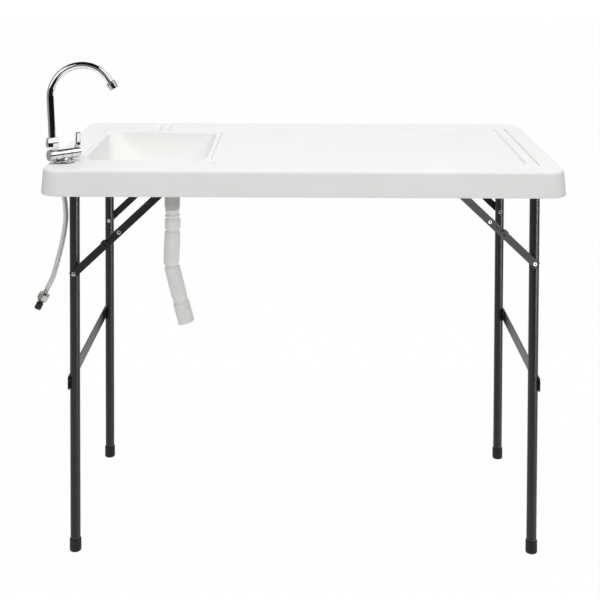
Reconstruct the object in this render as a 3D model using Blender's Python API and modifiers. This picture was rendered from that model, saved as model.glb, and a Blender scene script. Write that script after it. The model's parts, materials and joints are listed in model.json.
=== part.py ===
# Folding fish cleaning table with a moulded sink, a fold-down faucet and two folding leg frames.
# Metres, +Z up. The origin is on the floor under the middle of the tabletop.
# +X runs along the table to the right, +Y to the back.
import math

import bmesh
import bpy
from mathutils import Matrix, Vector

# Clearances
SEAT_GAP = 0.0003
RUN_GAP = 0.0003
CUT_OVERRUN = 0.010
MERGE = 0.00001

# Tabletop
TABLE_LENGTH = 1.140
TABLE_WIDTH = 0.600
TABLE_HEIGHT = 0.865
TABLE_CORNER = 0.042
APRON_DEPTH = 0.058
APRON_DRAFT = 0.004
APRON_WALL = 0.0042
APRON_LIP = 0.014
DECK_SKIN = 0.0040
TOP_EDGE_RADIUS = 0.009
BOTTOM_EDGE_RADIUS = 0.003
INNER_EDGE_RADIUS = 0.004

# Sink
SINK_LEFT_INSET = 0.0825
SINK_FRONT_INSET = 0.1095
SINK_LENGTH = 0.268
SINK_WIDTH = 0.334
SINK_CORNER = 0.036
SINK_DEPTH = 0.085
SINK_WALL_SLOPE = 0.017
SINK_FLOOR_RADIUS = 0.030
SINK_LIP_RADIUS = 0.004
SINK_FLOOR_FALL = 0.002
BEAD_WIDTH = 0.0127
BEAD_HEIGHT = 0.0035
BEAD_FRONT_GAP = 0.012

# Cutting board area, its side groove and the drip channel behind the sink
BOARD_RIGHT_INSET = 0.0755
BOARD_FRONT_INSET = 0.0680
BOARD_BACK_INSET = 0.0625
BOARD_SINK = 0.0012
BOARD_CORNER = 0.008
GROOVE_RIGHT_INSET = 0.0520
GROOVE_FRONT_INSET = 0.0655
GROOVE_BACK_INSET = 0.0780
GROOVE_WIDTH = 0.0025
GROOVE_DEPTH = 0.0012
CHANNEL_OFFSET = -0.0035
CHANNEL_WIDTH = 0.024
CHANNEL_DEPTH = 0.002

# Drain
DRAIN_OFFSET = 0.0415
DRAIN_SEAT_RADIUS = 0.034
DRAIN_TAIL_RADIUS = 0.0155
DRAIN_TAIL_WALL = 0.002
DRAIN_TAIL_LENGTH = 0.040
DRAIN_HOLE_GAP = 0.0006
STRAINER_RADIUS = 0.031
STRAINER_THICKNESS = 0.0016
STRAINER_HOLE_RADIUS = 0.0036
STRAINER_HOLE_RING = 0.0088
DRAIN_GASKET_RADIUS = 0.025
DRAIN_GASKET_THICKNESS = 0.002
DRAIN_NUT_RADIUS = 0.025
DRAIN_NUT_HEIGHT = 0.011
COUPLING_RADIUS = 0.0185
COUPLING_LENGTH = 0.0385
COUPLING_OVERLAP = 0.015
COUPLING_WALL = 0.0035
DRAIN_HOSE_BORE = 0.0105

# Leg frames
LEFT_LEG_INSET = 0.066
RIGHT_LEG_INSET = 0.061
LEG_SIDE_INSET = 0.072
LEG_RADIUS = 0.0111
LEG_WALL = 0.0013
FOLDED_TOP_GAP = 0.0018
FOLDED_STACK_GAP = 0.0010
CROSS_TUBE_WALL = 0.0014
CROSS_TUBE_PLUG = 0.024
HUB_RADIUS = 0.0060
CAP_RADIUS = 0.0130
CAP_HEIGHT = 0.027
CAP_FLOOR = 0.004
CROSSBAR_HEIGHT = 0.378
CROSSBAR_WIDTH = 0.030
CROSSBAR_THICKNESS = 0.003
CROSSBAR_OVERHANG = 0.0004
CROSSBAR_CHAMFER = 0.004

# Folding lock braces
ARM_WIDTH = 0.017
ARM_THICKNESS = 0.0025
ARM_SPACING = 0.0018
LOWER_ARM_LENGTH = 0.1375
LOWER_ARM_END = 0.0064  # square-cut end past the leg rivet
LEG_RIVET_DROP = 0.1970
TAIL_LENGTH = 0.048
NOTCH_START = 0.015
NOTCH_END = 0.035
NOTCH_DEPTH = 0.0080
TAIL_HOLE_AT = 0.042
TAIL_HOLE_RADIUS = 0.0024
STOP_START = 0.0365
STOP_LENGTH = 0.0095
STOP_THICKNESS = 0.0020
RIVET_RADIUS = 0.0030
RIVET_FLARE_RADIUS = 0.0043
RIVET_FLARE_DEPTH = 0.0011
RIVET_HEAD_RADIUS = 0.0048
RIVET_HEAD_HEIGHT = 0.0013
ELBOW_HEAD_HEIGHT = 0.0020

# Brackets under the tabletop
BRACKET_THICKNESS = 0.0025
BRACKET_EAR_RADIUS = 0.0115
BRACKET_WEB = 0.0135
BRACKET_PAD_RADIUS = 0.0085
BRACKET_FLANGE = 0.028
BRACKET_SCREW_RADIUS = 0.0026
BRACKET_SCREWS = 3
BOLT_RADIUS = 0.0040
BOLT_HEAD_RADIUS = 0.0066
BOLT_HEAD_HEIGHT = 0.0045
BOLT_REACH = 0.020

# Faucet
FAUCET_LEFT_INSET = 0.0401
FAUCET_FRONT_INSET = 0.0862
FAUCET_TURN = math.radians(40)
FLANGE_RADIUS = 0.0245
FLANGE_HEIGHT = 0.0040
PAD_THICKNESS = 0.0014
BODY_RADIUS = 0.01225
BODY_AXIS_HEIGHT = 0.0180
END_CAP_LENGTH = 0.0025
ELBOW_LENGTH = 0.0262
MIDDLE_LENGTH = 0.0225
HUB_LENGTH = 0.0240
SPIGOT_RADIUS = 0.0060
SPIGOT_LENGTH = 0.0080
SHANK_RADIUS = 0.00625
SHANK_REACH = 0.0390
SPOUT_FROM_END = 0.0110
SPOUT_LEAN = math.radians(5.5)
SPOUT_BOSS_RADIUS = 0.0078
SPOUT_BOSS_TOP = 0.0240
SPOUT_NUT_LOW = 0.0126
SPOUT_NUT_HEIGHT = 0.0270
SPOUT_NUT_RADIUS = 0.0144
SPOUT_NUT_TOP_RADIUS = 0.0108
SPOUT_NUT_BOTTOM_RADIUS = 0.0122
SPOUT_NUT_FLATS = 0.0134
SPOUT_RADIUS = 0.00825
SPOUT_WALL = 0.0013
SPOUT_BEND_HEIGHT = 0.1241
SPOUT_BEND_RADIUS = 0.0696
SPOUT_SWEEP = math.radians(149.8)
SPOUT_TIP_LENGTH = 0.0132
AERATOR_RADIUS = 0.0113
AERATOR_TIP_RADIUS = 0.0099
AERATOR_LENGTH = 0.0170
AERATOR_OVERLAP = 0.0060
AERATOR_BORE = 0.0070
LEVER_WIDTH = 0.0124
LEVER_FOOT_WIDTH = 0.0190
LEVER_FOOT_HEIGHT = 0.0060
LEVER_THICKNESS = 0.0045
LEVER_HEIGHT = 0.0340
LEVER_FROM_END = 0.0045
LEVER_FRONT_OFFSET = 0.0035
LEVER_SCREW_RADIUS = 0.0038
LEVER_SCREW_HEIGHT = 0.0016
LEVER_SCREW_RISE = 0.0070
SHANK_WASHER_RADIUS = 0.0145
SHANK_WASHER_THICKNESS = 0.0020
SHANK_NUT_FLATS = 0.0112
SHANK_NUT_HEIGHT = 0.0090

# Supply hose
HOSE_RADIUS = 0.0060
HOSE_NUT_FLATS = 0.0088
HOSE_NUT_HEIGHT = 0.0200
HOSE_NUT_GRIP = 0.0060
FERRULE_RADIUS = 0.0054
FERRULE_LENGTH = 0.0120
END_NUT_FLATS = 0.0115
END_NUT_LENGTH = 0.0140
ADAPTER_COLLAR_RADIUS = 0.0093
ADAPTER_COLLAR_LENGTH = 0.0040
ADAPTER_NECK_RADIUS = 0.0058
ADAPTER_NECK_LENGTH = 0.0040
ADAPTER_RADIUS = 0.0078
ADAPTER_LENGTH = 0.0150
ADAPTER_BORE = 0.0042

# Routes of the two free hoses, chosen by hand, as (x, y, z) from where each one leaves its fitting
SUPPLY_ROUTE = [
    (0.0000, 0.0000, 0.0000),
    (0.0000, 0.0000, -0.0130),
    (0.0006, 0.0000, -0.0270),
    (0.0022, 0.0000, -0.0400),
    (0.0035, 0.0000, -0.0530),
    (0.0039, 0.0001, -0.0680),
    (0.0028, 0.0003, -0.0830),
    (0.0008, 0.0005, -0.0980),
    (-0.0018, 0.0006, -0.1130),
    (-0.0050, 0.0007, -0.1280),
    (-0.0088, 0.0007, -0.1440),
    (-0.0126, 0.0007, -0.1590),
    (-0.0166, 0.0006, -0.1740),
    (-0.0208, 0.0004, -0.1890),
    (-0.0252, 0.0002, -0.2030),
    (-0.0311, 0.0000, -0.2165),
    (-0.0378, 0.0000, -0.2299),
]
DRAIN_ROUTE = [
    (0.0000, 0.0000, 0.0000),
    (0.0002, 0.0000, -0.0120),
    (0.0008, 0.0000, -0.0265),
    (0.0006, 0.0000, -0.0500),
    (-0.0005, 0.0000, -0.0800),
    (-0.0018, 0.0000, -0.1070),
    (-0.0022, 0.0000, -0.1240),
    (-0.0010, 0.0000, -0.1370),
    (0.0018, 0.0000, -0.1500),
    (0.0060, 0.0000, -0.1660),
    (0.0112, 0.0000, -0.1870),
    (0.0169, 0.0000, -0.2095),
    (0.0223, 0.0000, -0.2300),
    (0.0278, 0.0000, -0.2505),
    (0.0334, 0.0000, -0.2715),
]
# Radius along the drain hose, as (distance from its top, radius): smooth lengths between ribbed necks
DRAIN_PROFILE = [
    (0.0000, 0.0172),
    (0.0022, 0.0166),
    (0.0050, 0.0178),
    (0.0080, 0.0150),
    (0.0118, 0.0150),
    (0.0140, 0.0182),
    (0.0170, 0.0182),
    (0.0192, 0.0148),
    (0.0218, 0.0150),
    (0.0235, 0.0178),
    (0.0255, 0.0187),
    (0.0455, 0.0187),
    (0.0475, 0.0178),
    (0.0492, 0.0150),
    (0.0520, 0.0150),
    (0.0537, 0.0178),
    (0.0557, 0.0187),
    (0.0920, 0.0188),
    (0.1280, 0.0187),
    (0.1300, 0.0178),
    (0.1318, 0.0150),
    (0.1350, 0.0150),
    (0.1368, 0.0178),
    (0.1388, 0.0187),
    (0.1730, 0.0187),
    (0.2080, 0.0187),
    (0.2100, 0.0178),
    (0.2118, 0.0152),
    (0.2140, 0.0178),
    (0.2163, 0.0152),
    (0.2186, 0.0178),
    (0.2210, 0.0152),
    (0.2232, 0.0182),
    (0.2252, 0.0193),
    (0.2480, 0.0195),
    (0.2730, 0.0195),
]

# Finishes: colour, roughness, metallic
WHITE_PLASTIC = ((0.80, 0.80, 0.78), 0.45, 0.0)
GREY_PLASTIC = ((0.58, 0.57, 0.55), 0.35, 0.0)
PALE_PLASTIC = ((0.68, 0.67, 0.65), 0.45, 0.0)
DARK_COAT = ((0.045, 0.046, 0.045), 0.50, 0.3)
BLACK_PLASTIC = ((0.015, 0.015, 0.015), 0.50, 0.0)
BLACK_RUBBER = ((0.020, 0.020, 0.020), 0.80, 0.0)
ZINC = ((0.62, 0.63, 0.64), 0.30, 1.0)
CHROME = ((0.86, 0.87, 0.88), 0.06, 1.0)
NICKEL = ((0.66, 0.63, 0.59), 0.25, 1.0)
BRAID = ((0.58, 0.58, 0.56), 0.38, 0.9)
STEEL = ((0.70, 0.70, 0.70), 0.28, 1.0)

# Derived sizes
HALF_LENGTH = TABLE_LENGTH / 2
HALF_WIDTH = TABLE_WIDTH / 2
SINK_CENTRE_X = SINK_LEFT_INSET + SINK_LENGTH / 2 - HALF_LENGTH
SINK_CENTRE_Y = SINK_FRONT_INSET + SINK_WIDTH / 2 - HALF_WIDTH
BOARD_RIGHT_X = HALF_LENGTH - BOARD_RIGHT_INSET
BOARD_FRONT_Y = BOARD_FRONT_INSET - HALF_WIDTH
BOARD_BACK_Y = HALF_WIDTH - BOARD_BACK_INSET
GROOVE_X = HALF_LENGTH - GROOVE_RIGHT_INSET
GROOVE_FRONT_Y = GROOVE_FRONT_INSET - HALF_WIDTH
GROOVE_BACK_Y = HALF_WIDTH - GROOVE_BACK_INSET
CHANNEL_X = SINK_CENTRE_X + CHANNEL_OFFSET
DRAIN_X = SINK_CENTRE_X + DRAIN_OFFSET
DRAIN_Y = SINK_CENTRE_Y
LEFT_LEG_X = HALF_LENGTH - LEFT_LEG_INSET
RIGHT_LEG_X = HALF_LENGTH - RIGHT_LEG_INSET
LEG_Y = HALF_WIDTH - LEG_SIDE_INSET
FAUCET_X = FAUCET_LEFT_INSET - HALF_LENGTH
FAUCET_Y = FAUCET_FRONT_INSET - HALF_WIDTH
DECK_UNDERSIDE = TABLE_HEIGHT - DECK_SKIN
TABLE_BOTTOM = TABLE_HEIGHT - APRON_DEPTH
BEAD_RADIUS = (BEAD_WIDTH**2 / 4 + BEAD_HEIGHT**2) / (2 * BEAD_HEIGHT)
BOARD_LEFT_X = SINK_CENTRE_X + SINK_LENGTH / 2 + BEAD_WIDTH + SEAT_GAP
LEG_FACE = LEG_Y + LEG_RADIUS
CROSSBAR_END = LEG_FACE + CROSSBAR_OVERHANG
LOWER_ARM_IN = LEG_FACE + SEAT_GAP
LOWER_ARM_OUT = LOWER_ARM_IN + ARM_THICKNESS
UPPER_ARM_IN = LOWER_ARM_OUT + ARM_SPACING
UPPER_ARM_OUT = UPPER_ARM_IN + ARM_THICKNESS
BRACKET_IN = UPPER_ARM_OUT + ELBOW_HEAD_HEIGHT + SEAT_GAP
BRACKET_OUT = BRACKET_IN + BRACKET_THICKNESS
BRACKET_TOP = DECK_UNDERSIDE - SEAT_GAP
# The brace folds flat when its two arms differ by as much as their pivots do on the folded frame.
ARM_REST = 2 * LOWER_ARM_LENGTH - LEG_RIVET_DROP
BRACE_SPACING = (LEG_RIVET_DROP**2 - ARM_REST**2) / (2 * ARM_REST)
UPPER_ARM_LENGTH = math.hypot(BRACE_SPACING, LEG_RIVET_DROP) - LOWER_ARM_LENGTH
BRACE_SLOPE = math.atan2(LEG_RIVET_DROP, BRACE_SPACING)
SINK_FLOOR = TABLE_HEIGHT - SINK_DEPTH - SINK_FLOOR_FALL
DRAIN_HOLE_RADIUS = DRAIN_TAIL_RADIUS + DRAIN_HOLE_GAP
FAUCET_AXIS_Z = TABLE_HEIGHT + BODY_AXIS_HEIGHT
FAUCET_AXIS = Vector((math.cos(FAUCET_TURN), math.sin(FAUCET_TURN), 0))
FAUCET_SIDE = Vector((-math.sin(FAUCET_TURN), math.cos(FAUCET_TURN), 0))
FAUCET_CENTRE = Vector((FAUCET_X, FAUCET_Y, FAUCET_AXIS_Z))
BODY_END = (END_CAP_LENGTH + ELBOW_LENGTH + MIDDLE_LENGTH + HUB_LENGTH) / 2
ELBOW_START = END_CAP_LENGTH - BODY_END
MIDDLE_START = ELBOW_START + ELBOW_LENGTH
HUB_START = MIDDLE_START + MIDDLE_LENGTH
UP = Vector((0, 0, 1))
# Folded, the right frame lies under the deck and the left frame lies under the right one.
RIGHT_PIVOT_HEIGHT = DECK_UNDERSIDE - CAP_RADIUS - FOLDED_TOP_GAP
PIVOT_STEP = 2 * LEG_RADIUS + SEAT_GAP + CROSSBAR_THICKNESS + FOLDED_STACK_GAP
SIDES = {
    "left": (-1, LEFT_LEG_X, RIGHT_PIVOT_HEIGHT - PIVOT_STEP),
    "right": (1, RIGHT_LEG_X, RIGHT_PIVOT_HEIGHT),
}
FACES = {"front": -1, "rear": 1}


def clear_scene():
    for thing in list(bpy.data.objects):
        bpy.data.objects.remove(thing)


def new_collection(name):
    made = bpy.data.collections.new(name)
    bpy.context.scene.collection.children.link(made)
    return made


def finish(piece, look, smooth=40):
    """Gives a piece its own material, and smooths its round faces."""
    colour, roughness, metallic = look
    material = bpy.data.materials.new(piece.name)
    material.use_nodes = True
    shader = material.node_tree.nodes["Principled BSDF"]
    shader.inputs["Base Color"].default_value = (*colour, 1)
    shader.inputs["Roughness"].default_value = roughness
    shader.inputs["Metallic"].default_value = metallic
    piece.data.materials.clear()
    piece.data.materials.append(material)
    if piece.type == "MESH":
        piece.data.shade_smooth()
        piece.data.set_sharp_from_angle(angle=math.radians(smooth))
    return piece


def mesh_piece(name, mesh, where):
    piece = bpy.data.objects.new(name, mesh)
    where.objects.link(piece)
    return piece


def mesh_from(name, shape):
    mesh = bpy.data.meshes.new(name)
    shape.to_mesh(mesh)
    shape.free()
    return mesh


def as_cutter(piece):
    piece.hide_render = True
    piece.display_type = "WIRE"
    return piece


def boolean(piece, other, operation):
    step = piece.modifiers.new(operation.lower() + "_" + other.name, "BOOLEAN")
    step.operation = operation
    step.object = as_cutter(other)
    step.solver = "EXACT"
    return piece


def box(name, low, high, where):
    shape = bmesh.new()
    bmesh.ops.create_cube(shape, size=1)
    middle = (Vector(low) + Vector(high)) / 2
    size = Vector(high) - Vector(low)
    bmesh.ops.scale(shape, vec=size, verts=shape.verts)
    bmesh.ops.translate(shape, vec=middle, verts=shape.verts)
    return mesh_piece(name, mesh_from(name, shape), where)


def turned(name, profile, where, steps=20, ring=False):
    """A turned piece about its own Z axis; the profile is (radius, height) down its outer side."""
    mesh = bpy.data.meshes.new(name)
    count = len(profile)
    edges = [(i, i + 1) for i in range(count - 1)]
    if ring:
        edges.append((count - 1, 0))
    mesh.from_pydata([(radius, 0, height) for radius, height in profile], edges, [])
    piece = mesh_piece(name, mesh, where)
    screw = piece.modifiers.new("turn", "SCREW")
    screw.steps = steps
    screw.render_steps = steps
    screw.use_merge_vertices = True
    screw.merge_threshold = MERGE
    screw.use_smooth_shade = True
    return piece


def disc_profile(radius, low, high):
    return [(0, high), (radius, high), (radius, low), (0, low)]


def ring_profile(inner, outer, low, high):
    return [(inner, high), (outer, high), (outer, low), (inner, low)]


def aim(piece, origin, direction):
    """Puts a piece's origin at a point and turns its Z axis to a direction."""
    turn = Vector(direction).to_track_quat("Z", "Y")
    piece.matrix_world = Matrix.Translation(origin) @ turn.to_matrix().to_4x4()
    return piece


def evaluated_mesh(piece):
    """The piece as a welded mesh with its modifiers applied, in its own frame."""
    bpy.context.view_layer.update()
    graph = bpy.context.evaluated_depsgraph_get()
    mesh = bpy.data.meshes.new_from_object(piece.evaluated_get(graph))
    shape = bmesh.new()
    shape.from_mesh(mesh)
    bmesh.ops.remove_doubles(shape, verts=shape.verts, dist=MERGE)
    shape.to_mesh(mesh)
    shape.free()
    return mesh


def made_mesh(piece, where):
    """Replaces a curve by its welded mesh, in the same place."""
    mesh = evaluated_mesh(piece)
    solid = mesh_piece(piece.name + "_solid", mesh, where)
    solid.matrix_world = piece.matrix_world.copy()
    name = piece.name
    bpy.data.objects.remove(piece)
    solid.name = name
    return solid


def plate(name, outline, holes, thickness, where):
    """A flat plate in local X and Z, its thickness centred on Y; holes are outlines too."""
    curve = bpy.data.curves.new(name, "CURVE")
    curve.dimensions = "2D"
    curve.fill_mode = "BOTH"
    curve.extrude = thickness / 2
    for loop in [outline, *holes]:
        spline = curve.splines.new("POLY")
        spline.points.add(len(loop) - 1)
        for point, (x, z) in zip(spline.points, loop):
            point.co = (x, z, 0, 1)
        spline.use_cyclic_u = True
    piece = bpy.data.objects.new(name, curve)
    where.objects.link(piece)
    solid = made_mesh(piece, where)
    solid.data.transform(Matrix.Rotation(math.pi / 2, 4, "X"))
    return solid


def arc(centre, radius, start, end, steps):
    """Points on an arc, angles in degrees, both ends included."""
    points = []
    for i in range(steps + 1):
        angle = math.radians(start + (end - start) * i / steps)
        points.append((centre[0] + radius * math.cos(angle), centre[1] + radius * math.sin(angle)))
    return points


def circle(centre, radius, steps=12):
    return arc(centre, radius, 0, 360 - 360 / steps, steps - 1)


def smooth_route(route, step):
    """Points about a step apart on a Catmull-Rom curve through the route's own points."""
    points = [Vector(p) for p in route]
    ends = [2 * points[0] - points[1], *points, 2 * points[-1] - points[-2]]
    fine = []
    for i in range(1, len(ends) - 2):
        a, b, c, d = ends[i - 1 : i + 3]
        for k in range(12):
            t = k / 12
            lead = 2 * b + (c - a) * t + (2 * a - 5 * b + 4 * c - d) * t * t
            fine.append((lead + (3 * b - a - 3 * c + d) * t**3) / 2)
    fine.append(points[-1])
    lengths = [0]
    for a, b in zip(fine, fine[1:]):
        lengths.append(lengths[-1] + (b - a).length)
    count = max(2, round(lengths[-1] / step))
    return [point_along(fine, lengths, lengths[-1] * i / count) for i in range(count + 1)]


def point_along(points, lengths, distance):
    for i in range(1, len(points)):
        if distance <= lengths[i] or i == len(points) - 1:
            share = (distance - lengths[i - 1]) / (lengths[i] - lengths[i - 1])
            return points[i - 1].lerp(points[i], min(share, 1))


def tube(name, points, radius, where, resolution=3, radii=None):
    """A filled round tube along a poly line, with its own radius at each point if given."""
    curve = bpy.data.curves.new(name, "CURVE")
    curve.dimensions = "3D"
    curve.bevel_depth = radius
    curve.bevel_resolution = resolution
    curve.use_fill_caps = True
    spline = curve.splines.new("POLY")
    spline.points.add(len(points) - 1)
    for i, (point, place) in enumerate(zip(spline.points, points)):
        point.co = (*place, 1)
        point.radius = radii[i] / radius if radii else 1
    piece = bpy.data.objects.new(name, curve)
    where.objects.link(piece)
    return piece


def hex_prism(name, flats, low, high, where):
    """A hexagonal prism about Z; flats is the distance from its axis to a flat."""
    shape = bmesh.new()
    corner = flats / math.cos(math.pi / 6)
    bmesh.ops.create_cone(
        shape, cap_ends=True, segments=6, radius1=corner, radius2=corner, depth=high - low
    )
    bmesh.ops.translate(shape, vec=(0, 0, (low + high) / 2), verts=shape.verts)
    return mesh_piece(name, mesh_from(name, shape), where)


def rounded_ring(half_x, half_y, radius, z, centre=(0, 0), steps=6):
    """One level of a rounded rectangle."""
    radius = min(radius, half_x, half_y)
    points = []
    for k, (sx, sy) in enumerate([(1, 1), (-1, 1), (-1, -1), (1, -1)]):
        middle = (centre[0] + sx * (half_x - radius), centre[1] + sy * (half_y - radius))
        for x, y in arc(middle, radius, 90 * k, 90 * k + 90, steps):
            points.append((x, y, z))
    return points


def round_ring(radius, z, centre, steps=6):
    """A circle with as many points as a rounded ring, in step with it."""
    count = 4 * (steps + 1)
    points = []
    for i in range(count):
        angle = 2 * math.pi * (i + 0.5) / count
        points.append((centre[0] + radius * math.cos(angle), centre[1] + radius * math.sin(angle), z))
    return points


def loft(name, rings, where):
    """A closed solid through rings that have the same number of points."""
    shape = bmesh.new()
    levels = [[shape.verts.new(p) for p in ring] for ring in rings]
    count = len(rings[0])
    for below, above in zip(levels, levels[1:]):
        for i in range(count):
            j = (i + 1) % count
            shape.faces.new((below[i], below[j], above[j], above[i]))
    shape.faces.new(levels[0])
    shape.faces.new(levels[-1])
    bmesh.ops.recalc_face_normals(shape, faces=shape.faces)
    return mesh_piece(name, mesh_from(name, shape), where)


def table_ring(inset, z, steps=6):
    """A level of the tabletop's outline, inset from its widest."""
    half_x = TABLE_LENGTH / 2 - inset
    half_y = TABLE_WIDTH / 2 - inset
    return rounded_ring(half_x, half_y, TABLE_CORNER - inset, z, steps=steps)


def tabletop_block(where):
    """The moulded outside: a drafted apron with a round top edge."""
    foot = BOTTOM_EDGE_RADIUS
    rings = []
    for i in range(3):
        angle = math.pi / 4 * i
        inset = foot * (1 - math.sin(angle))
        rings.append(table_ring(inset, TABLE_BOTTOM + foot * (1 - math.cos(angle))))
    for i in range(6):
        angle = math.pi / 10 * i
        inset = APRON_DRAFT + TOP_EDGE_RADIUS * (1 - math.cos(angle))
        rise = TABLE_HEIGHT - TOP_EDGE_RADIUS * (1 - math.sin(angle))
        rings.append(table_ring(inset, rise))
    return loft("tabletop", rings, where)


def tabletop_hollow(where):
    """The space under the deck, inside the apron wall and its turned-in lip."""
    lip_top = TABLE_BOTTOM + APRON_WALL
    top = DECK_UNDERSIDE
    rings = [
        table_ring(APRON_LIP, TABLE_BOTTOM - CUT_OVERRUN),
        table_ring(APRON_LIP, lip_top),
        table_ring(APRON_WALL, lip_top + INNER_EDGE_RADIUS),
    ]
    for i in range(4):
        angle = math.pi / 6 * i
        inset = APRON_DRAFT + APRON_WALL + INNER_EDGE_RADIUS * (1 - math.cos(angle))
        rings.append(table_ring(inset, top - INNER_EDGE_RADIUS * (1 - math.sin(angle))))
    return loft("deck_hollow", rings, where)


def sink_ring(inset, depth):
    """A level of the sink, inset from its opening."""
    half_x = SINK_LENGTH / 2 - inset
    half_y = SINK_WIDTH / 2 - inset
    centre = (SINK_CENTRE_X, SINK_CENTRE_Y)
    corner = SINK_CORNER + inset / 4
    return rounded_ring(half_x, half_y, corner, TABLE_HEIGHT - depth, centre)


def sink_rings(wall):
    """The sink from under its lip to the drain seat, grown outwards by a wall."""
    rings = [sink_ring(-wall, SINK_LIP_RADIUS)]
    bend = SINK_FLOOR_RADIUS + wall
    for i in range(6):
        angle = math.pi / 10 * i
        inset = SINK_WALL_SLOPE + SINK_FLOOR_RADIUS - bend * math.cos(angle)
        depth = SINK_DEPTH - SINK_FLOOR_RADIUS + bend * math.sin(angle)
        rings.append(sink_ring(inset, depth))
    seat = TABLE_HEIGHT - SINK_DEPTH - SINK_FLOOR_FALL - wall
    rings.append(round_ring(DRAIN_SEAT_RADIUS + wall, seat, (DRAIN_X, DRAIN_Y)))
    return rings


def sink_outside(where):
    top = sink_ring(-DECK_SKIN, DECK_SKIN / 2)
    return loft("sink_outside", [top, *sink_rings(DECK_SKIN)[1:]], where)


def sink_inside(where):
    mouth = [sink_ring(-SINK_LIP_RADIUS, -CUT_OVERRUN)]
    for i in range(3):
        angle = math.pi / 4 * i
        inset = -SINK_LIP_RADIUS * (1 - math.sin(angle))
        mouth.append(sink_ring(inset, SINK_LIP_RADIUS * (1 - math.cos(angle))))
    return loft("sink_inside", [*mouth[:-1], *sink_rings(0)], where)


def sink_bead(where):
    """The raised bead round three sides of the sink, open at the front."""
    reach_x = SINK_LENGTH / 2 + BEAD_WIDTH / 2
    reach_y = SINK_WIDTH / 2 + BEAD_WIDTH / 2
    bend = SINK_CORNER + BEAD_WIDTH / 2
    front = SINK_CENTRE_Y - SINK_WIDTH / 2 + BEAD_FRONT_GAP
    z = TABLE_HEIGHT + BEAD_HEIGHT - BEAD_RADIUS
    back = (SINK_CENTRE_X, SINK_CENTRE_Y)
    points = [(back[0] + reach_x, front)]
    points += arc((back[0] + reach_x - bend, back[1] + reach_y - bend), bend, 0, 90, 6)
    points += arc((back[0] - reach_x + bend, back[1] + reach_y - bend), bend, 90, 180, 6)
    points.append((back[0] - reach_x, front))
    return made_mesh(tube("sink_bead", [(x, y, z) for x, y in points], BEAD_RADIUS, where, 4), where)


def board_recess(where):
    half_x = (BOARD_RIGHT_X - BOARD_LEFT_X) / 2
    half_y = (BOARD_BACK_Y - BOARD_FRONT_Y) / 2
    centre = ((BOARD_RIGHT_X + BOARD_LEFT_X) / 2, (BOARD_BACK_Y + BOARD_FRONT_Y) / 2)
    floor = TABLE_HEIGHT - BOARD_SINK
    rings = [
        rounded_ring(half_x, half_y, BOARD_CORNER, floor, centre, 3),
        rounded_ring(half_x, half_y, BOARD_CORNER, TABLE_HEIGHT + CUT_OVERRUN, centre, 3),
    ]
    return loft("board_recess", rings, where)


def tabletop(pieces, cutters):
    top = tabletop_block(pieces)
    boolean(top, tabletop_hollow(cutters), "DIFFERENCE")
    boolean(top, sink_outside(cutters), "UNION")
    boolean(top, sink_bead(cutters), "UNION")
    boolean(top, sink_inside(cutters), "DIFFERENCE")
    boolean(top, board_recess(cutters), "DIFFERENCE")
    high = TABLE_HEIGHT + CUT_OVERRUN
    groove = box(
        "side_groove",
        (GROOVE_X - GROOVE_WIDTH / 2, GROOVE_FRONT_Y, TABLE_HEIGHT - GROOVE_DEPTH),
        (GROOVE_X + GROOVE_WIDTH / 2, GROOVE_BACK_Y, high),
        cutters,
    )
    boolean(top, groove, "DIFFERENCE")
    channel_start = SINK_CENTRE_Y + SINK_WIDTH / 2 + BEAD_WIDTH + SEAT_GAP
    channel = box(
        "drip_channel",
        (CHANNEL_X - CHANNEL_WIDTH / 2, channel_start, TABLE_HEIGHT - CHANNEL_DEPTH),
        (CHANNEL_X + CHANNEL_WIDTH / 2, TABLE_WIDTH / 2 + CUT_OVERRUN, high),
        cutters,
    )
    boolean(top, channel, "DIFFERENCE")
    floor = SINK_FLOOR - DECK_SKIN
    hole = turned("drain_hole", disc_profile(DRAIN_HOLE_RADIUS, -CUT_OVERRUN, 2 * CUT_OVERRUN), cutters)
    hole.location = (DRAIN_X, DRAIN_Y, floor)
    boolean(top, hole, "DIFFERENCE")
    depth = DECK_SKIN + CUT_OVERRUN
    hole = turned("faucet_hole", disc_profile(SHANK_RADIUS + DRAIN_HOLE_GAP, -depth, CUT_OVERRUN), cutters)
    hole.location = (FAUCET_X, FAUCET_Y, TABLE_HEIGHT)
    boolean(top, hole, "DIFFERENCE")
    finish(top, WHITE_PLASTIC, 35)


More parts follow.
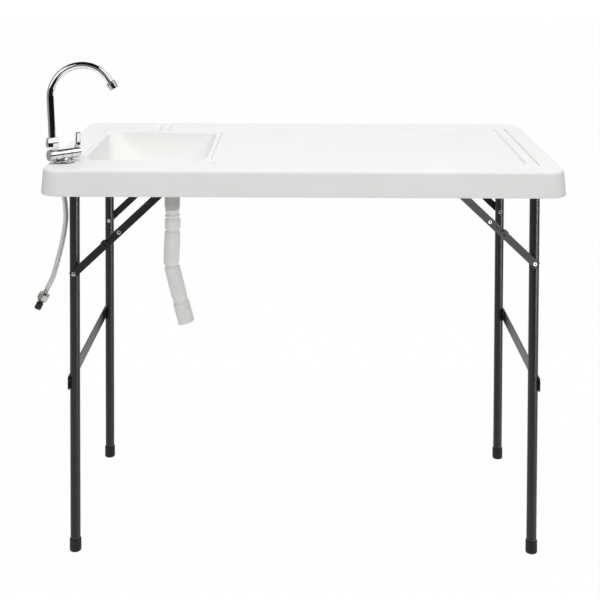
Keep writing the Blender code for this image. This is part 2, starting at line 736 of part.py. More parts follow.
def drain(pieces, cutters):
    """Strainer with its threaded tail, gasket, lock nut and the coupling that carries the hose."""
    at = (DRAIN_X, DRAIN_Y, SINK_FLOOR + SEAT_GAP)
    bore = DRAIN_TAIL_RADIUS - DRAIN_TAIL_WALL
    rim = STRAINER_THICKNESS
    profile = [
        (0, rim * 0.7),
        (bore, rim * 0.7),
        (bore + rim, rim),
        (STRAINER_RADIUS - rim, rim),
        (STRAINER_RADIUS, rim * 0.4),
        (STRAINER_RADIUS, 0),
        (DRAIN_TAIL_RADIUS, 0),
        (DRAIN_TAIL_RADIUS, -DRAIN_TAIL_LENGTH),
        (bore, -DRAIN_TAIL_LENGTH),
        (bore, -rim),
        (0, -rim),
    ]
    strainer = turned("drain_strainer", profile, pieces, 18)
    strainer.location = at
    centres = [(0, 0)] + circle((0, 0), STRAINER_HOLE_RING, 6)
    for i, (x, y) in enumerate(centres):
        reach = DRAIN_TAIL_RADIUS
        hole = turned(f"strainer_hole_{i}", disc_profile(STRAINER_HOLE_RADIUS, -reach, reach), cutters, 8)
        hole.location = (at[0] + x, at[1] + y, at[2])
        boolean(strainer, hole, "DIFFERENCE")
    finish(strainer, STEEL)

    below = SINK_FLOOR - DECK_SKIN - SEAT_GAP
    inner = DRAIN_TAIL_RADIUS + RUN_GAP
    gasket_low = -DRAIN_GASKET_THICKNESS
    profile = ring_profile(inner, DRAIN_GASKET_RADIUS, gasket_low, 0)
    gasket = turned("drain_gasket", profile, pieces, 20, True)
    gasket.location = (DRAIN_X, DRAIN_Y, below)
    finish(gasket, BLACK_RUBBER)

    nut_top = gasket_low - SEAT_GAP
    nut = hex_prism("drain_lock_nut", DRAIN_NUT_RADIUS, nut_top - DRAIN_NUT_HEIGHT, nut_top, pieces)
    nut.location = (DRAIN_X, DRAIN_Y, below)
    bore_cut = turned("drain_nut_bore", disc_profile(inner, nut_top - 2 * DRAIN_NUT_HEIGHT, 0), cutters, 20)
    bore_cut.location = nut.location
    boolean(nut, bore_cut, "DIFFERENCE")
    finish(nut, GREY_PLASTIC, 30)

    tail_end = at[2] - DRAIN_TAIL_LENGTH
    seat = COUPLING_OVERLAP
    inside = COUPLING_RADIUS - COUPLING_WALL
    throat = bore - SEAT_GAP
    edge = COUPLING_WALL / 3
    profile = [
        (inner, seat),
        (COUPLING_RADIUS - edge, seat),
        (COUPLING_RADIUS, seat - edge),
        (COUPLING_RADIUS, seat - COUPLING_LENGTH + edge),
        (COUPLING_RADIUS - edge, seat - COUPLING_LENGTH),
        (throat, seat - COUPLING_LENGTH),
        (throat, -COUPLING_WALL),
        (inside - edge, -SEAT_GAP),
        (inner, -SEAT_GAP),
    ]
    coupling = turned("drain_coupling", profile, pieces, 20, True)
    coupling.location = (DRAIN_X, DRAIN_Y, tail_end)
    finish(coupling, GREY_PLASTIC)


def drain_hose(pieces, cutters):
    """The hanging drain hose, smooth lengths between ribbed necks, with its bore."""
    tail_end = SINK_FLOOR + SEAT_GAP - DRAIN_TAIL_LENGTH
    top = Vector((DRAIN_X, DRAIN_Y, tail_end + COUPLING_OVERLAP - COUPLING_LENGTH - SEAT_GAP))
    fine = smooth_route(DRAIN_ROUTE, 0.002)
    lengths = [0]
    for a, b in zip(fine, fine[1:]):
        lengths.append(lengths[-1] + (b - a).length)
    stretch = lengths[-1] / DRAIN_PROFILE[-1][0]
    places = [point_along(fine, lengths, at * stretch) for at, _ in DRAIN_PROFILE]
    radii = [radius for _, radius in DRAIN_PROFILE]
    hose = made_mesh(tube("drain_hose", places, radii[0], pieces, 4, radii), pieces)
    hose.location = top
    middle = smooth_route(DRAIN_ROUTE, 0.020)
    first = middle[0] + (middle[0] - middle[1]).normalized() * CUT_OVERRUN
    last = middle[-1] + (middle[-1] - middle[-2]).normalized() * CUT_OVERRUN
    bore = made_mesh(tube("drain_hose_bore", [first, *middle, last], DRAIN_HOSE_BORE, cutters, 2), cutters)
    bore.location = top
    boolean(hose, bore, "DIFFERENCE")
    finish(hose, PALE_PLASTIC, 50)


def leg(side, face, pieces, cutters):
    """One upright tube, cut to fit round the cross tube that it hangs from."""
    sign, reach, pivot = SIDES[side]
    x = sign * reach
    y = FACES[face] * LEG_Y
    profile = ring_profile(LEG_RADIUS - LEG_WALL, LEG_RADIUS, CAP_FLOOR + SEAT_GAP, pivot)
    piece = turned(f"{side}_{face}_leg", profile, pieces, 16, True)
    piece.location = (x, y, 0)
    cope = disc_profile(LEG_RADIUS + SEAT_GAP, -LEG_RADIUS * 2, LEG_RADIUS * 2)
    cutter = turned(f"{piece.name}_cope", cope, cutters, 16)
    aim(cutter, (x, y, pivot), (0, 1, 0))
    boolean(piece, cutter, "DIFFERENCE")
    above = box(
        f"{piece.name}_above",
        (x - LEG_RADIUS * 2, y - LEG_RADIUS * 2, pivot - SEAT_GAP),
        (x + LEG_RADIUS * 2, y + LEG_RADIUS * 2, pivot + LEG_RADIUS * 2),
        cutters,
    )
    boolean(piece, above, "DIFFERENCE")
    drop = pivot - LEG_RIVET_DROP
    bore = disc_profile(RIVET_RADIUS + RUN_GAP, -LEG_RADIUS * 2, LEG_RADIUS * 2)
    hole = turned(f"{piece.name}_hole", bore, cutters, 10)
    aim(hole, (x, y, drop), (0, 1, 0))
    boolean(piece, hole, "DIFFERENCE")
    finish(piece, DARK_COAT)


def foot_cap(side, face, pieces):
    sign, reach, _ = SIDES[side]
    inner = LEG_RADIUS + SEAT_GAP
    rim = (CAP_RADIUS - inner) / 2
    profile = [
        (inner, CAP_HEIGHT),
        (CAP_RADIUS - rim, CAP_HEIGHT),
        (CAP_RADIUS, CAP_HEIGHT - rim),
        (CAP_RADIUS, 2 * rim),
        (CAP_RADIUS - 2 * rim, 0),
        (0, 0),
    ]
    inside = [(0, CAP_FLOOR), (inner, CAP_FLOOR)]
    piece = turned(f"{side}_{face}_foot_cap", [*inside[::-1][:1], *profile, inside[0]], pieces, 16, True)
    piece.location = (sign * reach, FACES[face] * LEG_Y, 0)
    finish(piece, BLACK_PLASTIC, 30)


def cross_tube(side, pieces):
    """The tube that a leg frame turns on, with a plugged hub at each end."""
    sign, reach, pivot = SIDES[side]
    bore = BOLT_RADIUS + RUN_GAP
    end = BRACKET_IN - SEAT_GAP
    face = LEG_FACE
    inside = LEG_RADIUS - CROSS_TUBE_WALL
    plug = face - CROSS_TUBE_PLUG
    profile = [
        (bore, end),
        (HUB_RADIUS, end),
        (HUB_RADIUS, face),
        (LEG_RADIUS, face),
        (LEG_RADIUS, -face),
        (HUB_RADIUS, -face),
        (HUB_RADIUS, -end),
        (bore, -end),
        (bore, -plug),
        (inside, -plug),
        (inside, plug),
        (bore, plug),
    ]
    piece = turned(f"{side}_cross_tube", profile, pieces, 16, True)
    aim(piece, (sign * reach, 0, pivot), (0, 1, 0))
    finish(piece, DARK_COAT, 30)


def crossbar(side, pieces):
    """A flat strip across the outer sides of both legs, its corners cut off."""
    sign, reach, _ = SIDES[side]
    x = sign * (reach + LEG_RADIUS + SEAT_GAP + CROSSBAR_THICKNESS / 2)
    half = CROSSBAR_WIDTH / 2
    cut = CROSSBAR_CHAMFER
    outline = []
    for along, up in ((1, 1), (-1, 1), (-1, -1), (1, -1)):
        corner = [(along * CROSSBAR_END, up * (half - cut)), (along * (CROSSBAR_END - cut), up * half)]
        outline += corner if along * up > 0 else corner[::-1]
    strip = plate(f"{side}_crossbar", outline, [], CROSSBAR_THICKNESS, pieces)
    strip.data.transform(Matrix.Rotation(math.pi / 2, 4, "Z"))
    strip.location = (x, 0, CROSSBAR_HEIGHT)
    finish(strip, DARK_COAT, 30)


def rivet_shank(outer, inner):
    """The shank of a flush rivet about Y, from its outer end in to a flared, flush inner end."""
    return [
        (0, outer),
        (RIVET_RADIUS, outer),
        (RIVET_RADIUS, inner + RIVET_FLARE_DEPTH),
        (RIVET_FLARE_RADIUS, inner),
        (0, inner),
    ]


def rivet_hole(outer, inner):
    """The countersunk hole that a flush rivet runs in, a clearance larger and longer than the plate."""
    bore = RIVET_RADIUS + RUN_GAP
    flare = RIVET_FLARE_RADIUS + RUN_GAP
    return [
        (0, outer + CUT_OVERRUN),
        (bore, outer + CUT_OVERRUN),
        (bore, inner + RIVET_FLARE_DEPTH),
        (flare, inner),
        (flare, inner - CUT_OVERRUN),
        (0, inner - CUT_OVERRUN),
    ]


def dome(base, height, radius=RIVET_HEAD_RADIUS):
    """A low domed rivet head with a set centre, from its crown out and down to its base."""
    crown = base + height
    return [
        (0, crown - height * 0.35),
        (radius * 0.30, crown - height * 0.30),
        (radius * 0.45, crown),
        (radius * 0.75, crown - height * 0.12),
        (radius, base + height * 0.30),
        (radius, base),
    ]


def turned_about_y(name, profile, x, z, where, steps=10):
    piece = turned(name, profile, where, steps)
    aim(piece, (x, 0, z), (0, 1, 0))
    return piece


def upper_arm_mesh(cutters):
    """The table-side arm, local: pivot at the origin, X along the arm, Y outward, Z to the stop side."""
    half = ARM_WIDTH / 2
    tip = UPPER_ARM_LENGTH + TAIL_LENGTH
    notch_low = UPPER_ARM_LENGTH + NOTCH_START
    notch_high = UPPER_ARM_LENGTH + NOTCH_END
    corner = half / 4
    outline = arc((0, 0), half, 90, 270, 6)
    outline += arc((tip - corner, -half + corner), corner, 270, 360, 2)
    outline += arc((tip - corner, half - corner), corner, 0, 90, 2)
    outline += [(notch_high, half), (notch_high, half - NOTCH_DEPTH)]
    outline += [(notch_low, half - NOTCH_DEPTH), (notch_low, half)]
    holes = [circle((UPPER_ARM_LENGTH + TAIL_HOLE_AT, 0), TAIL_HOLE_RADIUS, 10)]
    arm = plate("upper_arm_plate", outline, holes, ARM_THICKNESS, cutters)
    arm.location = (0, (UPPER_ARM_IN + UPPER_ARM_OUT) / 2, 0)
    start = UPPER_ARM_LENGTH + STOP_START
    stop = box(
        "stop_tab",
        (start, LOWER_ARM_IN, half + SEAT_GAP),
        (start + STOP_LENGTH, UPPER_ARM_OUT - SEAT_GAP, half + SEAT_GAP + STOP_THICKNESS),
        cutters,
    )
    root = box(
        "stop_root",
        (start + SEAT_GAP, UPPER_ARM_IN + SEAT_GAP, half - STOP_THICKNESS),
        (start + STOP_LENGTH - SEAT_GAP, UPPER_ARM_OUT - 2 * SEAT_GAP, half + STOP_THICKNESS),
        cutters,
    )
    boolean(arm, root, "UNION")
    boolean(arm, stop, "UNION")
    pivot = turned_about_y("upper_arm_pivot", rivet_hole(UPPER_ARM_OUT, UPPER_ARM_IN), 0, 0, cutters)
    boolean(arm, pivot, "DIFFERENCE")
    spacer = [(0, UPPER_ARM_OUT - ARM_THICKNESS / 2), (half * 0.7, UPPER_ARM_OUT - ARM_THICKNESS / 2)]
    spacer += [(half * 0.7, LOWER_ARM_OUT + SEAT_GAP), (0, LOWER_ARM_OUT + SEAT_GAP)]
    boolean(arm, turned_about_y("elbow_spacer", spacer, UPPER_ARM_LENGTH, 0, cutters), "UNION")
    head_base = UPPER_ARM_OUT - SEAT_GAP
    rivet = dome(head_base, ELBOW_HEAD_HEIGHT) + rivet_shank(head_base, LOWER_ARM_IN)[1:]
    boolean(arm, turned_about_y("elbow_rivet", rivet, UPPER_ARM_LENGTH, 0, cutters), "UNION")
    return arm


def lower_arm_mesh(cutters):
    """The leg-side arm, local: elbow at the origin, X along the arm to the leg rivet."""
    half = ARM_WIDTH / 2
    tip = LOWER_ARM_LENGTH + LOWER_ARM_END
    corner = half / 6
    outline = arc((0, 0), half, 90, 270, 6)
    outline += arc((tip - corner, -half + corner), corner, 270, 360, 2)
    outline += arc((tip - corner, half - corner), corner, 0, 90, 2)
    arm = plate("lower_arm_plate", outline, [], ARM_THICKNESS, cutters)
    arm.location = (0, (LOWER_ARM_IN + LOWER_ARM_OUT) / 2, 0)
    elbow = turned_about_y("lower_arm_elbow", rivet_hole(LOWER_ARM_OUT, LOWER_ARM_IN), 0, 0, cutters)
    boolean(arm, elbow, "DIFFERENCE")
    head = dome(LOWER_ARM_OUT - SEAT_GAP, RIVET_HEAD_HEIGHT + SEAT_GAP)
    head.append((0, LOWER_ARM_OUT - SEAT_GAP))
    boolean(arm, turned_about_y("leg_rivet_head", head, LOWER_ARM_LENGTH, 0, cutters), "UNION")
    return arm


def hand(side, face):
    """Turns local arm axes into the table's: X down the brace, Y outward, Z to the stop side."""
    sign = SIDES[side][0]
    x_axis = Vector((sign * math.cos(BRACE_SLOPE), 0, -math.sin(BRACE_SLOPE)))
    z_axis = Vector((sign * math.sin(BRACE_SLOPE), 0, math.cos(BRACE_SLOPE)))
    y_axis = Vector((0, FACES[face], 0))
    return Matrix((x_axis, y_axis, z_axis)).transposed().to_4x4()


def placed_copy(name, source, turn, origin, look, pieces):
    """A copy of a built piece, mirrored or turned in its mesh, with its origin on its own axis."""
    mesh = evaluated_mesh(source)
    mesh.transform(source.matrix_world)
    mesh.transform(turn)
    if turn.determinant() < 0:
        mesh.flip_normals()
    piece = mesh_piece(name, mesh, pieces)
    piece.location = origin
    finish(piece, look)
    return piece


def brace(side, face, upper, lower, pieces):
    """One folding lock brace: two arms, the rivet in the leg and the pin in the bracket."""
    sign, reach, pivot = SIDES[side]
    turn = hand(side, face)
    table_end = Vector((sign * (reach - BRACE_SPACING), 0, pivot))
    along = turn.to_3x3() @ Vector((1, 0, 0))
    elbow = table_end + along * UPPER_ARM_LENGTH
    placed_copy(f"{side}_{face}_upper_arm", upper, turn, table_end, DARK_COAT, pieces)
    placed_copy(f"{side}_{face}_lower_arm", lower, turn, elbow, DARK_COAT, pieces)
    outward = (0, FACES[face], 0)
    inner_end = LEG_Y - LEG_RADIUS
    head = RIVET_HEAD_HEIGHT
    profile = [
        (0, LEG_FACE),
        (RIVET_RADIUS, LEG_FACE),
        (RIVET_RADIUS, inner_end - SEAT_GAP),
        (RIVET_HEAD_RADIUS, inner_end - SEAT_GAP),
        (RIVET_HEAD_RADIUS, inner_end - SEAT_GAP - head * 0.3),
        (RIVET_HEAD_RADIUS * 0.7, inner_end - SEAT_GAP - head),
        (0, inner_end - SEAT_GAP - head),
    ]
    rivet = turned(f"{side}_{face}_leg_rivet", profile, pieces, 10)
    aim(rivet, (sign * reach, 0, pivot - LEG_RIVET_DROP), outward)
    finish(rivet, ZINC)
    profile = dome(BRACKET_OUT + SEAT_GAP, ELBOW_HEAD_HEIGHT)
    profile += rivet_shank(BRACKET_OUT + SEAT_GAP, UPPER_ARM_IN)[1:]
    pin = turned(f"{side}_{face}_brace_pin", profile, pieces, 10)
    aim(pin, table_end, outward)
    finish(pin, ZINC)


def bracket(side, face, pieces, cutters):
    """A stamped angle bracket: a plate with an ear at each pivot, and a screwed flange."""
    sign, reach, pivot = SIDES[side]
    ear = BRACKET_EAR_RADIUS
    drop = pivot - BRACKET_TOP
    web = -max(BRACKET_WEB, -drop - ear / 2)
    web = max(web, drop)
    near = [(0, drop), (BRACE_SPACING, drop)]
    outline = [(-ear, 0), (-ear, drop)] + arc(near[0], ear, 180, 360, 6)[1:]
    outline += [(ear, web), (BRACE_SPACING - ear, web)] if web > drop else []
    outline += arc(near[1], ear, 180, 360, 6) + [(BRACE_SPACING + ear, 0)]
    bolt_hole = circle(near[0], BOLT_RADIUS + RUN_GAP, 10)
    name = f"{side}_{face}_bracket"
    piece = plate(name, outline, [bolt_hole], BRACKET_THICKNESS, pieces)
    turn = Matrix.Diagonal((-sign, 1, 1, 1))
    piece.data.transform(turn)
    if sign > 0:
        piece.data.flip_normals()
    y = FACES[face] * (BRACKET_IN + BRACKET_OUT) / 2
    piece.location = (sign * reach, y, BRACKET_TOP)
    low_x, high_x = sorted((sign * (reach + ear), sign * (reach - BRACE_SPACING - ear)))
    flange_in = FACES[face] * (BRACKET_IN + SEAT_GAP)
    flange_out = FACES[face] * (BRACKET_IN + BRACKET_FLANGE)
    low_y, high_y = sorted((flange_in, flange_out))
    flange = box(
        f"{name}_flange",
        (low_x + SEAT_GAP, low_y, BRACKET_TOP - BRACKET_THICKNESS),
        (high_x - SEAT_GAP, high_y, BRACKET_TOP - SEAT_GAP / 3),
        cutters,
    )
    boolean(piece, flange, "UNION")
    table_end = (sign * (reach - BRACE_SPACING), 0, pivot)
    outward = (0, FACES[face], 0)
    low_pad = UPPER_ARM_OUT + SEAT_GAP
    pad = disc_profile(BRACKET_PAD_RADIUS, low_pad, BRACKET_OUT - SEAT_GAP)
    boolean(piece, aim(turned(f"{name}_pad", pad, cutters, 12), table_end, outward), "UNION")
    pin_hole = disc_profile(RIVET_RADIUS + RUN_GAP, low_pad - CUT_OVERRUN, BRACKET_OUT + CUT_OVERRUN)
    boolean(piece, aim(turned(f"{name}_pin_hole", pin_hole, cutters, 8), table_end, outward), "DIFFERENCE")
    for i in range(BRACKET_SCREWS):
        share = (i + 0.5) / BRACKET_SCREWS
        x = low_x + (high_x - low_x) * share
        drill = disc_profile(BRACKET_SCREW_RADIUS, -CUT_OVERRUN, CUT_OVERRUN)
        hole = turned(f"{name}_screw_hole_{i}", drill, cutters, 8)
        hole.location = (x, (low_y + high_y) / 2 + FACES[face] * BRACKET_THICKNESS / 2, BRACKET_TOP)
        boolean(piece, hole, "DIFFERENCE")
    finish(piece, DARK_COAT, 30)


def pivot_bolt(side, face, pieces):
    """The bolt that a leg frame turns on, through the bracket into the cross tube's end."""
    sign, reach, pivot = SIDES[side]
    base = BRACKET_OUT + SEAT_GAP
    reach_in = BRACKET_IN - BOLT_REACH
    profile = [
        (0, base + BOLT_HEAD_HEIGHT),
        (BOLT_HEAD_RADIUS * 0.8, base + BOLT_HEAD_HEIGHT),
        (BOLT_HEAD_RADIUS, base + BOLT_HEAD_HEIGHT * 0.75),
        (BOLT_HEAD_RADIUS, base),
        (BOLT_RADIUS, base),
        (BOLT_RADIUS, reach_in),
        (0, reach_in),
    ]
    bolt = turned(f"{side}_{face}_pivot_bolt", profile, pieces, 12)
    aim(bolt, (sign * reach, 0, pivot), (0, FACES[face], 0))
    finish(bolt, ZINC, 30)


def leg_frames(pieces, cutters):
    upper = upper_arm_mesh(cutters)
    lower = lower_arm_mesh(cutters)
    as_cutter(upper)
    as_cutter(lower)
    for side in SIDES:
        cross_tube(side, pieces)
        crossbar(side, pieces)
        for face in FACES:
            leg(side, face, pieces, cutters)
            foot_cap(side, face, pieces)
            brace(side, face, upper, lower, pieces)
            bracket(side, face, pieces, cutters)
            pivot_bolt(side, face, pieces)


def faucet_point(along, side=0.0, up=0.0):
    """A point by its distance along the faucet's body from its middle, to its side and above its axis."""
    return FAUCET_CENTRE + FAUCET_AXIS * along + FAUCET_SIDE * side + UP * up


def faucet_body(pieces, cutters):
    """Flange, pad, the middle of the body with its shank, and what clamps it under the deck."""
    base = (FAUCET_X, FAUCET_Y, TABLE_HEIGHT)
    bore = SHANK_RADIUS + RUN_GAP
    pad_top = SEAT_GAP + PAD_THICKNESS
    pad_ring = ring_profile(bore, FLANGE_RADIUS - PAD_THICKNESS, SEAT_GAP, pad_top)
    pad = turned("faucet_pad", pad_ring, pieces, 24, True)
    pad.location = base
    finish(pad, BLACK_RUBBER)

    low = pad_top + SEAT_GAP
    high = low + FLANGE_HEIGHT
    profile = [
        (bore, high),
        (FLANGE_RADIUS - FLANGE_HEIGHT * 1.2, high),
        (FLANGE_RADIUS - FLANGE_HEIGHT * 0.4, high - FLANGE_HEIGHT * 0.25),
        (FLANGE_RADIUS, low + FLANGE_HEIGHT * 0.35),
        (FLANGE_RADIUS, low),
        (bore, low),
    ]
    flange = turned("faucet_flange", profile, pieces, 28, True)
    flange.location = base
    relief = disc_profile(BODY_RADIUS + SEAT_GAP, -BODY_RADIUS * 3, BODY_RADIUS * 3)
    hollow = turned("flange_relief", relief, cutters, 24)
    aim(hollow, FAUCET_CENTRE, FAUCET_AXIS)
    boolean(flange, hollow, "DIFFERENCE")
    finish(flange, CHROME)

    start = MIDDLE_START
    end = HUB_START
    profile = [
        (0, end + SPIGOT_LENGTH),
        (SPIGOT_RADIUS, end + SPIGOT_LENGTH),
        (SPIGOT_RADIUS, end),
        (BODY_RADIUS, end),
        (BODY_RADIUS, start),
        (SPIGOT_RADIUS, start),
        (SPIGOT_RADIUS, start - SPIGOT_LENGTH),
        (0, start - SPIGOT_LENGTH),
    ]
    body = turned("faucet_body", profile, pieces, 24)
    aim(body, FAUCET_CENTRE, FAUCET_AXIS)
    profile = disc_profile(SHANK_RADIUS, -SHANK_REACH, BODY_AXIS_HEIGHT)
    shank = turned("faucet_shank", profile, cutters, 20)
    shank.location = base
    boolean(body, shank, "UNION")
    finish(body, CHROME)

    under = DECK_UNDERSIDE - TABLE_HEIGHT - SEAT_GAP
    washer_low = under - SHANK_WASHER_THICKNESS
    washer_ring = ring_profile(bore, SHANK_WASHER_RADIUS, washer_low, under)
    washer = turned("shank_washer", washer_ring, pieces, 20, True)
    washer.location = base
    finish(washer, BLACK_RUBBER)
    nut_top = washer_low - SEAT_GAP
    nut_low = nut_top - SHANK_NUT_HEIGHT
    nut = hex_nut("shank_lock_nut", SHANK_NUT_FLATS, nut_low, nut_top, bore, pieces, cutters)
    nut.location = base
    nut.modifiers[0].object.location = base
    finish(nut, NICKEL, 30)


def hex_nut(name, flats, low, high, bore, pieces, cutters):
    nut = hex_prism(name, flats, low, high, pieces)
    drill = turned(f"{name}_bore", disc_profile(bore, low - CUT_OVERRUN, high + CUT_OVERRUN), cutters, 20)
    boolean(nut, drill, "DIFFERENCE")
    return nut


def fold_parts(pieces, cutters):
    """The folding end of the body: its section, end cap and the nut that holds the spout."""
    low = ELBOW_START
    high = MIDDLE_START - SEAT_GAP
    socket = SPIGOT_RADIUS + RUN_GAP
    reach = SPIGOT_LENGTH + SEAT_GAP
    profile = [
        (socket, high),
        (BODY_RADIUS, high),
        (BODY_RADIUS, low),
        (0, low),
        (0, high - reach),
        (socket, high - reach),
    ]
    elbow = turned("fold_elbow", profile, pieces, 24, True)
    aim(elbow, FAUCET_CENTRE, FAUCET_AXIS)
    spout_at = SPOUT_FROM_END - BODY_END
    foot = faucet_point(spout_at)
    tilt = Matrix.Rotation(-SPOUT_LEAN, 3, FAUCET_AXIS)
    lean = tilt @ UP
    boss = turned("spout_boss", disc_profile(SPOUT_BOSS_RADIUS, 0, SPOUT_BOSS_TOP), cutters, 20)
    aim(boss, foot, lean)
    boolean(elbow, boss, "UNION")
    finish(elbow, CHROME)

    cap_high = low - SEAT_GAP
    edge = END_CAP_LENGTH / 3
    profile = [
        (0, cap_high),
        (BODY_RADIUS, cap_high),
        (BODY_RADIUS, cap_high - END_CAP_LENGTH + edge),
        (BODY_RADIUS - edge, cap_high - END_CAP_LENGTH),
        (0, cap_high - END_CAP_LENGTH),
    ]
    cap = turned("fold_end_cap", profile, pieces, 24)
    aim(cap, FAUCET_CENTRE, FAUCET_AXIS)
    finish(cap, CHROME, 30)

    top = SPOUT_NUT_LOW + SPOUT_NUT_HEIGHT
    belly = SPOUT_NUT_LOW + SPOUT_NUT_HEIGHT * 0.32
    shoulder = SPOUT_NUT_LOW + SPOUT_NUT_HEIGHT * 0.72
    neck = SPOUT_RADIUS + RUN_GAP
    inner = SPOUT_BOSS_RADIUS + SEAT_GAP
    profile = [
        (neck, top),
        (SPOUT_NUT_TOP_RADIUS, top),
        (SPOUT_NUT_TOP_RADIUS + (SPOUT_NUT_RADIUS - SPOUT_NUT_TOP_RADIUS) * 0.75, shoulder),
        (SPOUT_NUT_RADIUS, belly),
        (SPOUT_NUT_BOTTOM_RADIUS, SPOUT_NUT_LOW),
        (inner, SPOUT_NUT_LOW),
        (inner, SPOUT_BOSS_TOP + SEAT_GAP),
        (neck, SPOUT_BOSS_TOP + SEAT_GAP),
    ]
    nut = turned("spout_nut", profile, pieces, 24, True)
    aim(nut, foot, lean)
    flats = hex_prism("spout_nut_flats", SPOUT_NUT_FLATS, 0, top * 1.2, cutters)
    aim(flats, foot, lean)
    boolean(nut, flats, "INTERSECT")
    finish(nut, CHROME, 30)
    return foot, lean


def spout(foot, lean, pieces, cutters):
    """The gooseneck pipe and its aerator, in the plane of the lean and the sink."""
    forward = (Vector((1, 0, 0)) - lean * lean.x).normalized()
    start = SPOUT_BOSS_TOP + SEAT_GAP
    steps = 14
    points = [(0, start - CUT_OVERRUN), (0, start), (0, (start + SPOUT_BEND_HEIGHT) / 2)]
    for i in range(steps + 1):
        angle = math.pi - SPOUT_SWEEP * i / steps
        along = SPOUT_BEND_RADIUS * (1 + math.cos(angle))
        points.append((along, SPOUT_BEND_HEIGHT + SPOUT_BEND_RADIUS * math.sin(angle)))
    ends = Vector((math.sin(SPOUT_SWEEP), math.cos(SPOUT_SWEEP)))
    finish_at = Vector(points[-1]) + ends * SPOUT_TIP_LENGTH
    points.append(tuple(finish_at))
    past = finish_at + ends * CUT_OVERRUN
    place = [foot + forward * a + lean * b for a, b in points[1:]]
    bore = [foot + forward * a + lean * b for a, b in [*points, past]]
    origin = foot + lean * start
    pipe = made_mesh(tube("spout_pipe", [p - origin for p in place], SPOUT_RADIUS, pieces, 4), pieces)
    pipe.location = origin
    bore_route = [point - origin for point in bore]
    drill = made_mesh(tube("spout_bore", bore_route, SPOUT_RADIUS - SPOUT_WALL, cutters, 3), cutters)
    drill.location = origin
    boolean(pipe, drill, "DIFFERENCE")
    finish(pipe, CHROME)

    grip = SPOUT_RADIUS + SEAT_GAP
    step = SEAT_GAP
    profile = [
        (grip, AERATOR_OVERLAP),
        (AERATOR_RADIUS * 0.93, AERATOR_OVERLAP),
        (AERATOR_RADIUS, AERATOR_OVERLAP - AERATOR_LENGTH * 0.10),
        (AERATOR_TIP_RADIUS, AERATOR_OVERLAP - AERATOR_LENGTH),
        (AERATOR_BORE, AERATOR_OVERLAP - AERATOR_LENGTH),
        (AERATOR_BORE, -step),
        (grip, -step),
    ]
    aerator = turned("aerator", profile, pieces, 24, True)
    tip = foot + forward * finish_at.x + lean * finish_at.y
    outlet = forward * ends.x + lean * ends.y
    aim(aerator, tip, -outlet)
    finish(aerator, CHROME, 30)


def lever_parts(pieces):
    """The turning valve end of the body with its lever and screw."""
    high = BODY_END
    low = HUB_START + SEAT_GAP
    socket = SPIGOT_RADIUS + RUN_GAP
    reach = SPIGOT_LENGTH + SEAT_GAP
    edge = END_CAP_LENGTH / 2
    profile = [
        (0, high),
        (BODY_RADIUS - edge, high),
        (BODY_RADIUS, high - edge),
        (BODY_RADIUS, low),
        (socket, low),
        (socket, low + reach),
        (0, low + reach),
    ]
    hub = turned("valve_hub", profile, pieces, 24)
    aim(hub, FAUCET_CENTRE, FAUCET_AXIS)
    finish(hub, CHROME, 30)

    at = high - LEVER_FROM_END
    half = LEVER_WIDTH / 2
    foot = LEVER_FOOT_WIDTH / 2
    low_z = BODY_RADIUS + SEAT_GAP
    bend = LEVER_WIDTH / 5
    top = low_z + LEVER_HEIGHT - SEAT_GAP
    outline = [(-foot, low_z), (half, low_z)]
    outline += arc((half - bend, top - bend), bend, 0, 90, 4)
    outline += arc((-half + bend, top - bend), bend, 90, 180, 4)
    outline += [(-half, low_z + LEVER_FOOT_HEIGHT), (-foot, low_z + LEVER_FOOT_HEIGHT / 4)]
    lever = plate("valve_lever", outline, [], LEVER_THICKNESS, pieces)
    turn = Matrix.Rotation(FAUCET_TURN, 4, "Z")
    lever.matrix_world = Matrix.Translation(faucet_point(at, -LEVER_FRONT_OFFSET)) @ turn
    edge_round = lever.modifiers.new("edges", "BEVEL")
    edge_round.width = LEVER_THICKNESS / 6
    edge_round.segments = 1
    finish(lever, CHROME)

    base = LEVER_THICKNESS / 2 + SEAT_GAP
    profile = [
        (0, base + LEVER_SCREW_HEIGHT),
        (LEVER_SCREW_RADIUS * 0.6, base + LEVER_SCREW_HEIGHT * 0.85),
        (LEVER_SCREW_RADIUS, base + LEVER_SCREW_HEIGHT * 0.3),
        (LEVER_SCREW_RADIUS, base),
        (0, base),
    ]
    screw = turned("lever_screw", profile, pieces, 14)
    aim(screw, faucet_point(at, -LEVER_FRONT_OFFSET, low_z + LEVER_SCREW_RISE), -FAUCET_SIDE)
    finish(screw, BLACK_PLASTIC)


